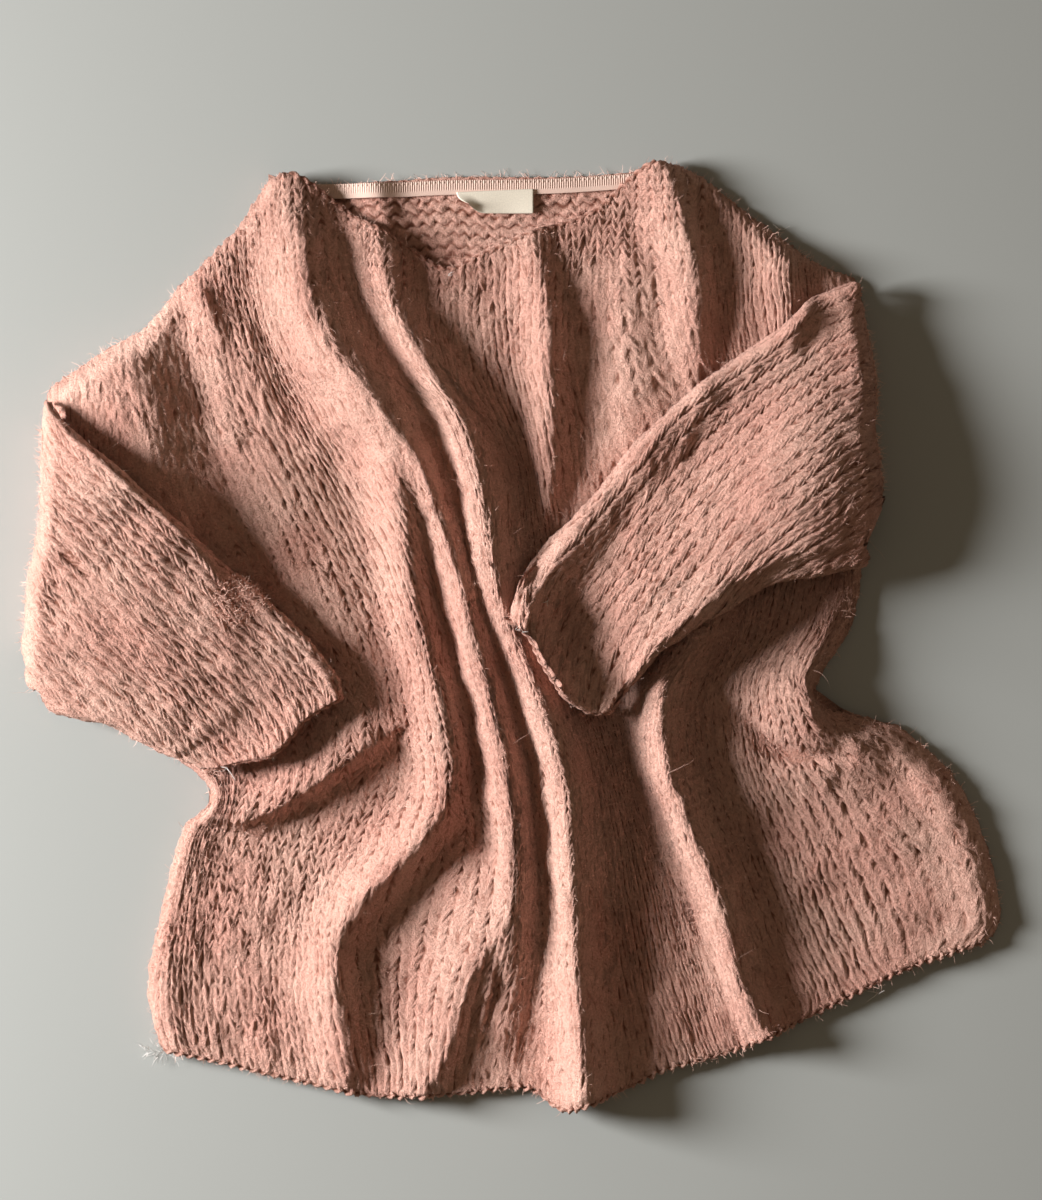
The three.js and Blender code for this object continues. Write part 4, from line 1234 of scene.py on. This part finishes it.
# %% Darn and loose ends
DARN = (-203, 25, 19)
ENDS = [  # x, y, how many threads, how long
    (-47, 270, 3, 5), (27, 25, 3, 5), (276, -270, 5, 12), (6, 4, 5, 11), (-212, -99, 4, 12), (203, 305, 3, 8),
]


def top_at(x, y):
    """Height of the highest cloth beside a spot."""
    tops = [1.0]
    for piece in cloth_pieces:
        spots = corners_of(piece)
        tops += spots[np.hypot(spots[:, 0] - x, spots[:, 1] - y) < 4, 2].tolist()
    return max(tops)


def tuft(name, centre, spread_by, count, length, thick, seed):
    """A knot or wisp of loose thread."""
    draw = np.random.default_rng(seed)
    spots = np.array(centre) + draw.normal(0, 1, (count, 3)) * spread_by
    return fibre_mesh(name, spots, draw.normal(0, 1, (count, 3)), length * draw.uniform(0.5, 1.2, count),
                      thick, 6, 0.5, seed)


roots, heads, chances = rooted((left_sleeve,), 900, 37, place=DARN)
darn_nap = fibre_mesh("darn_nap", roots, heads, 3 + 4 * chances, 0.16, 3, 0.5, 38)
threads = [end[2] for end in ENDS]
end_roots = np.repeat([(x, y, top_at(x, y) - 0.6) for x, y, _, _ in ENDS], threads, axis=0)
end_lengths = np.repeat([end[3] for end in ENDS], threads).astype(float)
end_heads = np.random.default_rng(43).normal(0, 1, end_roots.shape) + (0, -0.4, 0.6)
loose_ends = fibre_mesh("loose_ends", end_roots, end_heads, end_lengths, 0.32, 8, 0.3, 44)
hem_wisp = tuft("hem_corner_wisp", (-262, -313, 3), (9, 2.5, 1), 70, 9, 0.14, 41)
cuff_knot = tuft("cuff_knot", (-180, -90, 24), (1.0, 1.0, 0.8), 45, 4, 0.3, 42)

# %% [markdown]
# ## Tape and label
#
# A ribbed cotton tape steadies the back neck, with one line of stitches along its upper part.
# A woven label hangs from it and is left bare. The label's lower left corner has curled up.

# %% Tape and label
TAPE_LINE = smooth_line([(-146, 333), (-100, 333.5), (-50, 336), (0, 336.5), (40, 337.5), (92, 341)])
TAPE_WIDTH = 11.0
TAPE_RIB = 1.7
TAPE_STITCH = 3.4
LABEL_SIZE = (58.0, 16.0)
LABEL_CORNER = (-41.0, 316.5)


def strip_shell(name, columns, rows, place, thickness):
    """Thin shell over place(across, up) -> points, cloth coordinates."""
    def face(across, up):
        spots, marks = place(across, up)
        return spots, np.column_stack([marks, np.zeros(len(across))])

    def under(across, up):
        spots, marks = place(across, up)
        return spots - (0, 0, thickness), np.column_stack([marks, np.full(len(across), 0.5)])

    return cloth_shell(name, ((columns, rows, face), (columns // 2, rows // 2, under)))


def tape_place(across, up):
    run = run_of(TAPE_LINE)[-1]
    xy = place_at(TAPE_LINE, across * run)
    rib = 0.22 * np.cos(across * run * 2 * math.pi / TAPE_RIB) * (up > 0.35)
    stitched = np.cos(across * run * 2 * math.pi / TAPE_STITCH) > 0
    stitches = 0.5 * stitched * np.exp(-(((up - 0.86) / 0.06) ** 2))
    ripple = 0.5 * (soft_noise(2, across * 14, up * 2) - 0.5)
    y = xy[:, 1] + (up - 0.5) * TAPE_WIDTH
    z = BACK_TOP + 1.9 + rib + stitches + ripple + neck_ripple(xy[:, 0], y)
    return np.column_stack([xy[:, 0], y, z]), np.column_stack([across * run, up * TAPE_WIDTH])


def label_place(across, up):
    x = LABEL_CORNER[0] + across * LABEL_SIZE[0]
    y = LABEL_CORNER[1] + up * LABEL_SIZE[1] + 2.4 * across * up
    curl = np.clip(1 - np.hypot(across / 0.36, up / 0.95), 0, 1)
    x = x + 9.0 * curl**1.5
    y = y + 7.0 * curl**1.5
    sag = 0.6 * np.sin(across * 7.0) * (1 - up)
    z = BACK_TOP + 3.4 + sag + 6.0 * curl**1.3
    return np.column_stack([x, y, z]), np.column_stack([across, up]) * LABEL_SIZE


neck_tape = strip_shell("neck_tape_twill", 700, 16, tape_place, 0.7)
label_piece = strip_shell("label_bare", 48, 16, label_place, 0.4)

# %% [markdown]
# ## Finishes
#
# Two helpers come first. One turns a colour as a designer writes it into the linear numbers
# that Blender works in. The other adds a node, sets it and links it.


# %% Material helpers
def to_linear(code):
    """#rrggbb to linear red, green, blue and alpha."""
    channels = [int(code[k:k + 2], 16) / 255 for k in (1, 3, 5)]
    return [c / 12.92 if c <= 0.04045 else ((c + 0.055) / 1.055) ** 2.4 for c in channels] + [1.0]


def add_node(tree, kind, settings=None, **inputs):
    """A node with its settings; an input is a value, or a socket to link from."""
    node = tree.nodes.new(kind)
    for key, value in (settings or {}).items():
        setattr(node, key, value)
    for key, value in inputs.items():
        socket = node.inputs[int(key[1:])] if key[1:].isdigit() else node.inputs[key.replace("_", " ")]
        if isinstance(value, bpy.types.NodeSocket):
            tree.links.new(value, socket)
        else:
            socket.default_value = value
    return node


def new_material(name):
    material = bpy.data.materials.new(name)
    material.use_nodes = True
    tree = material.node_tree
    shader = tree.nodes["Principled BSDF"]
    return material, tree, shader


def ramp(tree, factor, low, high, dark, light):
    """A colour ramp between two stops."""
    node = add_node(tree, "ShaderNodeValToRGB", _0=factor)
    node.color_ramp.elements[0].position = low
    node.color_ramp.elements[1].position = high
    node.color_ramp.elements[0].color = dark
    node.color_ramp.elements[1].color = light
    return node.outputs["Color"]


def multiplied(tree, a, b):
    """One colour darkened by another."""
    node = add_node(tree, "ShaderNodeMix", {"data_type": "RGBA", "blend_type": "MULTIPLY"}, _0=1.0)
    tree.links.new(a, node.inputs[6])
    tree.links.new(b, node.inputs[7])
    return node.outputs[2]


# %% [markdown]
# ## Brushed wool and alpaca
#
# The yarn is loosely spun and brushed, so each leg is a bundle of fine fibres with a haze over
# it. That gives the eye four things: streaks along the legs, a speckle of fluff with painted
# shade in its low spots, a soft pale rim where the haze is seen edge on, and a painted warm
# shade in the hollows between stitches. A real fibre is 0.03 mm thick, so the streaks stand for
# bundles of them, 1.2 mm wide and 2.8 mm long.

# %% Knit material
STREAK_WIDTH = 1.2
STREAK_LENGTH = 2.8
FLUFF_PER_METRE = 560.0
PATCHES_PER_METRE = 16.0
WHITE = (1.0, 1.0, 1.0, 1.0)


def brushed_knit(name, light, deep):
    material, tree, shader = new_material(name)
    yarn = add_node(tree, "ShaderNodeUVMap", {"uv_map": "yarn"}).outputs["UV"]
    # The depth of the stitch relief, which drives the painted shade in the hollows.
    hollow = add_node(tree, "ShaderNodeAttribute", {"attribute_name": "hollow"}).outputs["Fac"]
    where = add_node(tree, "ShaderNodeTexCoord").outputs["Object"]
    strands = add_node(tree, "ShaderNodeMapping", _1=yarn)
    strands.inputs["Scale"].default_value = (1 / STREAK_WIDTH, 1 / STREAK_LENGTH, 1)
    fibre = add_node(tree, "ShaderNodeTexNoise", Vector=strands.outputs[0], Scale=1.0, Detail=3.0,
                     Roughness=0.65, Distortion=0.4).outputs[0]
    fluff = add_node(tree, "ShaderNodeTexNoise", Vector=where, Scale=FLUFF_PER_METRE, Detail=3.0,
                     Roughness=0.65).outputs[0]
    patchy = add_node(tree, "ShaderNodeTexNoise", Vector=where, Scale=PATCHES_PER_METRE, Detail=3.0,
                      Roughness=0.6).outputs[0]
    colour = ramp(tree, patchy, 0.36, 0.64, to_linear(deep), to_linear(light))
    streaks = ramp(tree, fibre, 0.32, 0.66, (0.83, 0.78, 0.76, 1), WHITE)
    # Painted shade: the colour darkens to a warm brown where the relief lies deep, between the stitches.
    shade = ramp(tree, hollow, 0.0, 1.5, WHITE, (0.40, 0.27, 0.22, 1))
    # Painted shade: the colour darkens where the fluff bump lies low, as if shaded by the fuzz over it.
    fluff_painted_shade = ramp(tree, fluff, 0.36, 0.62, (0.78, 0.70, 0.68, 1), WHITE)
    for layer in (streaks, fluff_painted_shade, shade):
        colour = multiplied(tree, colour, layer)
    tree.links.new(colour, shader.inputs["Base Color"])
    rough = add_node(tree, "ShaderNodeBump", Strength=1.0, Distance=0.0032, Height=fluff)
    fine = add_node(tree, "ShaderNodeBump", Strength=0.8, Distance=0.0010, Height=fibre,
                    Normal=rough.outputs[0])
    tree.links.new(fine.outputs[0], shader.inputs["Normal"])
    shader.inputs["Roughness"].default_value = 0.95
    shader.inputs["Specular IOR Level"].default_value = 0.15
    shader.inputs["Sheen Weight"].default_value = 0.22
    shader.inputs["Sheen Roughness"].default_value = 0.55
    shader.inputs["Sheen Tint"].default_value = to_linear("#ffe9dc")
    return material


knit = brushed_knit("brushed wool and alpaca knit", "#ffcebb", "#f6bcaa")

# %% [markdown]
# ## Cotton tape, satin label and plain finishes
#
# The tape is a dull cotton and the label a smoother satin, each a little uneven from thread to
# thread. Loose threads and the floor are too small or too plain to need a pattern.

# %% Tape and label materials
def woven(name, colour, thread, roughness):
    material, tree, shader = new_material(name)
    cloth = add_node(tree, "ShaderNodeUVMap", {"uv_map": "cloth"}).outputs["UV"]
    scaled = add_node(tree, "ShaderNodeMapping", _1=cloth)
    scaled.inputs["Scale"].default_value = (1 / thread, 1 / thread, 1)
    weave = add_node(tree, "ShaderNodeTexNoise", Vector=scaled.outputs[0], Scale=1.0, Detail=2.0).outputs[0]
    between = [0.86 * c for c in to_linear(colour)[:3]] + [1.0]
    tint = ramp(tree, weave, 0.3, 0.7, between, to_linear(colour))
    tree.links.new(tint, shader.inputs["Base Color"])
    bump = add_node(tree, "ShaderNodeBump", Strength=0.4, Distance=0.0002, Height=weave)
    tree.links.new(bump.outputs[0], shader.inputs["Normal"])
    shader.inputs["Roughness"].default_value = roughness
    shader.inputs["Sheen Weight"].default_value = 0.1
    return material


def plain(name, colour, roughness):
    material, _, shader = new_material(name)
    shader.inputs["Base Color"].default_value = to_linear(colour)
    shader.inputs["Roughness"].default_value = roughness
    return material


tape_cotton = woven("ribbed cotton twill tape", "#e6c4b4", 0.9, 0.85)
pale_thread = plain("pale loose thread", "#efe6e0", 0.8)
loose_wool = plain("loose wool fibre", "#f9cbb9", 0.9)
label_satin = woven("woven satin label", "#e9ddca", 0.4, 0.5)
pale_floor = plain("pale floor", "#a5a6a2", 0.9)

# %% [markdown]
# ## Dressing the pieces
#
# The whole garment is one yarn. Its shed fibres have the same colour, and the loose ends are of
# a paler thread.

# %% Put the finishes on
wool_fibres = (short_fuzz, rim_fuzz, long_strays, darn_nap)
thread_ends = (loose_ends, hem_wisp, cuff_knot)
for finish, dressed in (
    (knit, cloth_pieces + edge_cords),
    (loose_wool, wool_fibres),
    (pale_thread, thread_ends),
    (tape_cotton, (neck_tape,)),
    (label_satin, (label_piece,)),
):
    for piece in dressed:
        piece.data.materials.append(finish)
    print(finish.name, "on", ", ".join(piece.name for piece in dressed))

# %% [markdown]
# ## What stands for what
#
# Each piece is put on the body that it rides on, and the imported solid that it stands for is
# hidden.

# %% Put the pieces on their body and hide the solids
stands_for = {
    front_panel: "front_panel", back_panel: "back_panel", left_sleeve: "left_sleeve",
    right_sleeve: "right_sleeve", neck_tape: "neck_tape", label_piece: "label",
}
for piece, node in stands_for.items():
    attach(piece, "root")
    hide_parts(node)
for piece in edge_cords + wool_fibres + thread_ends:
    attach(piece, "root")

# %% [markdown]
# ## Floor, light and camera
#
# The floor is plain and pale. One big soft light stands low on the left, as a window does, so
# that every fold and stitch throws its shade to the right, and a faint, warm light from the room
# fills the shade. The camera looks straight down.

# %% Stage
floor_bm = bmesh.new()
bmesh.ops.create_grid(floor_bm, x_segments=1, y_segments=1, size=3.0)
floor_mesh = bpy.data.meshes.new("floor")
floor_bm.to_mesh(floor_mesh)
floor_bm.free()
floor = bpy.data.objects.new("floor", floor_mesh)
floor.data.materials.append(pale_floor)
bpy.context.scene.collection.objects.link(floor)


def area_light(name, position, target, size, power, colour, spread=180):
    lamp = bpy.data.lights.new(name, "AREA")
    lamp.shape = "DISK"
    lamp.size = size
    lamp.energy = power
    lamp.spread = math.radians(spread)
    lamp.color = to_linear(colour)[:3]
    holder = bpy.data.objects.new(name, lamp)
    holder.location = position
    holder.rotation_euler = (Vector(target) - Vector(position)).to_track_quat("-Z", "Y").to_euler()
    bpy.context.scene.collection.objects.link(holder)


area_light("window", (-2.5, 0.33, 1.04), (0, -0.75, 0), 1.0, 143.0, "#fbfcfd", 150)
area_light("room", (0.6, 0.4, 2.6), (0, 0, 0), 2.5, 2.0, "#f4f2ee")
world = bpy.data.worlds.new("room light")
world.use_nodes = True
world.node_tree.nodes["Background"].inputs["Color"].default_value = to_linear("#ffe4bd")
world.node_tree.nodes["Background"].inputs["Strength"].default_value = 0.125
bpy.context.scene.world = world
bpy.context.scene.view_settings.view_transform = "Standard"

camera_data = bpy.data.cameras.new("camera")
camera_data.lens = 120.0
camera_data.sensor_width = 36.0
camera_data.clip_end = 20.0
camera = bpy.data.objects.new("camera", camera_data)
camera.location = (0.0075, 0.0259, 3.015)
bpy.context.scene.collection.objects.link(camera)
bpy.context.scene.camera = camera
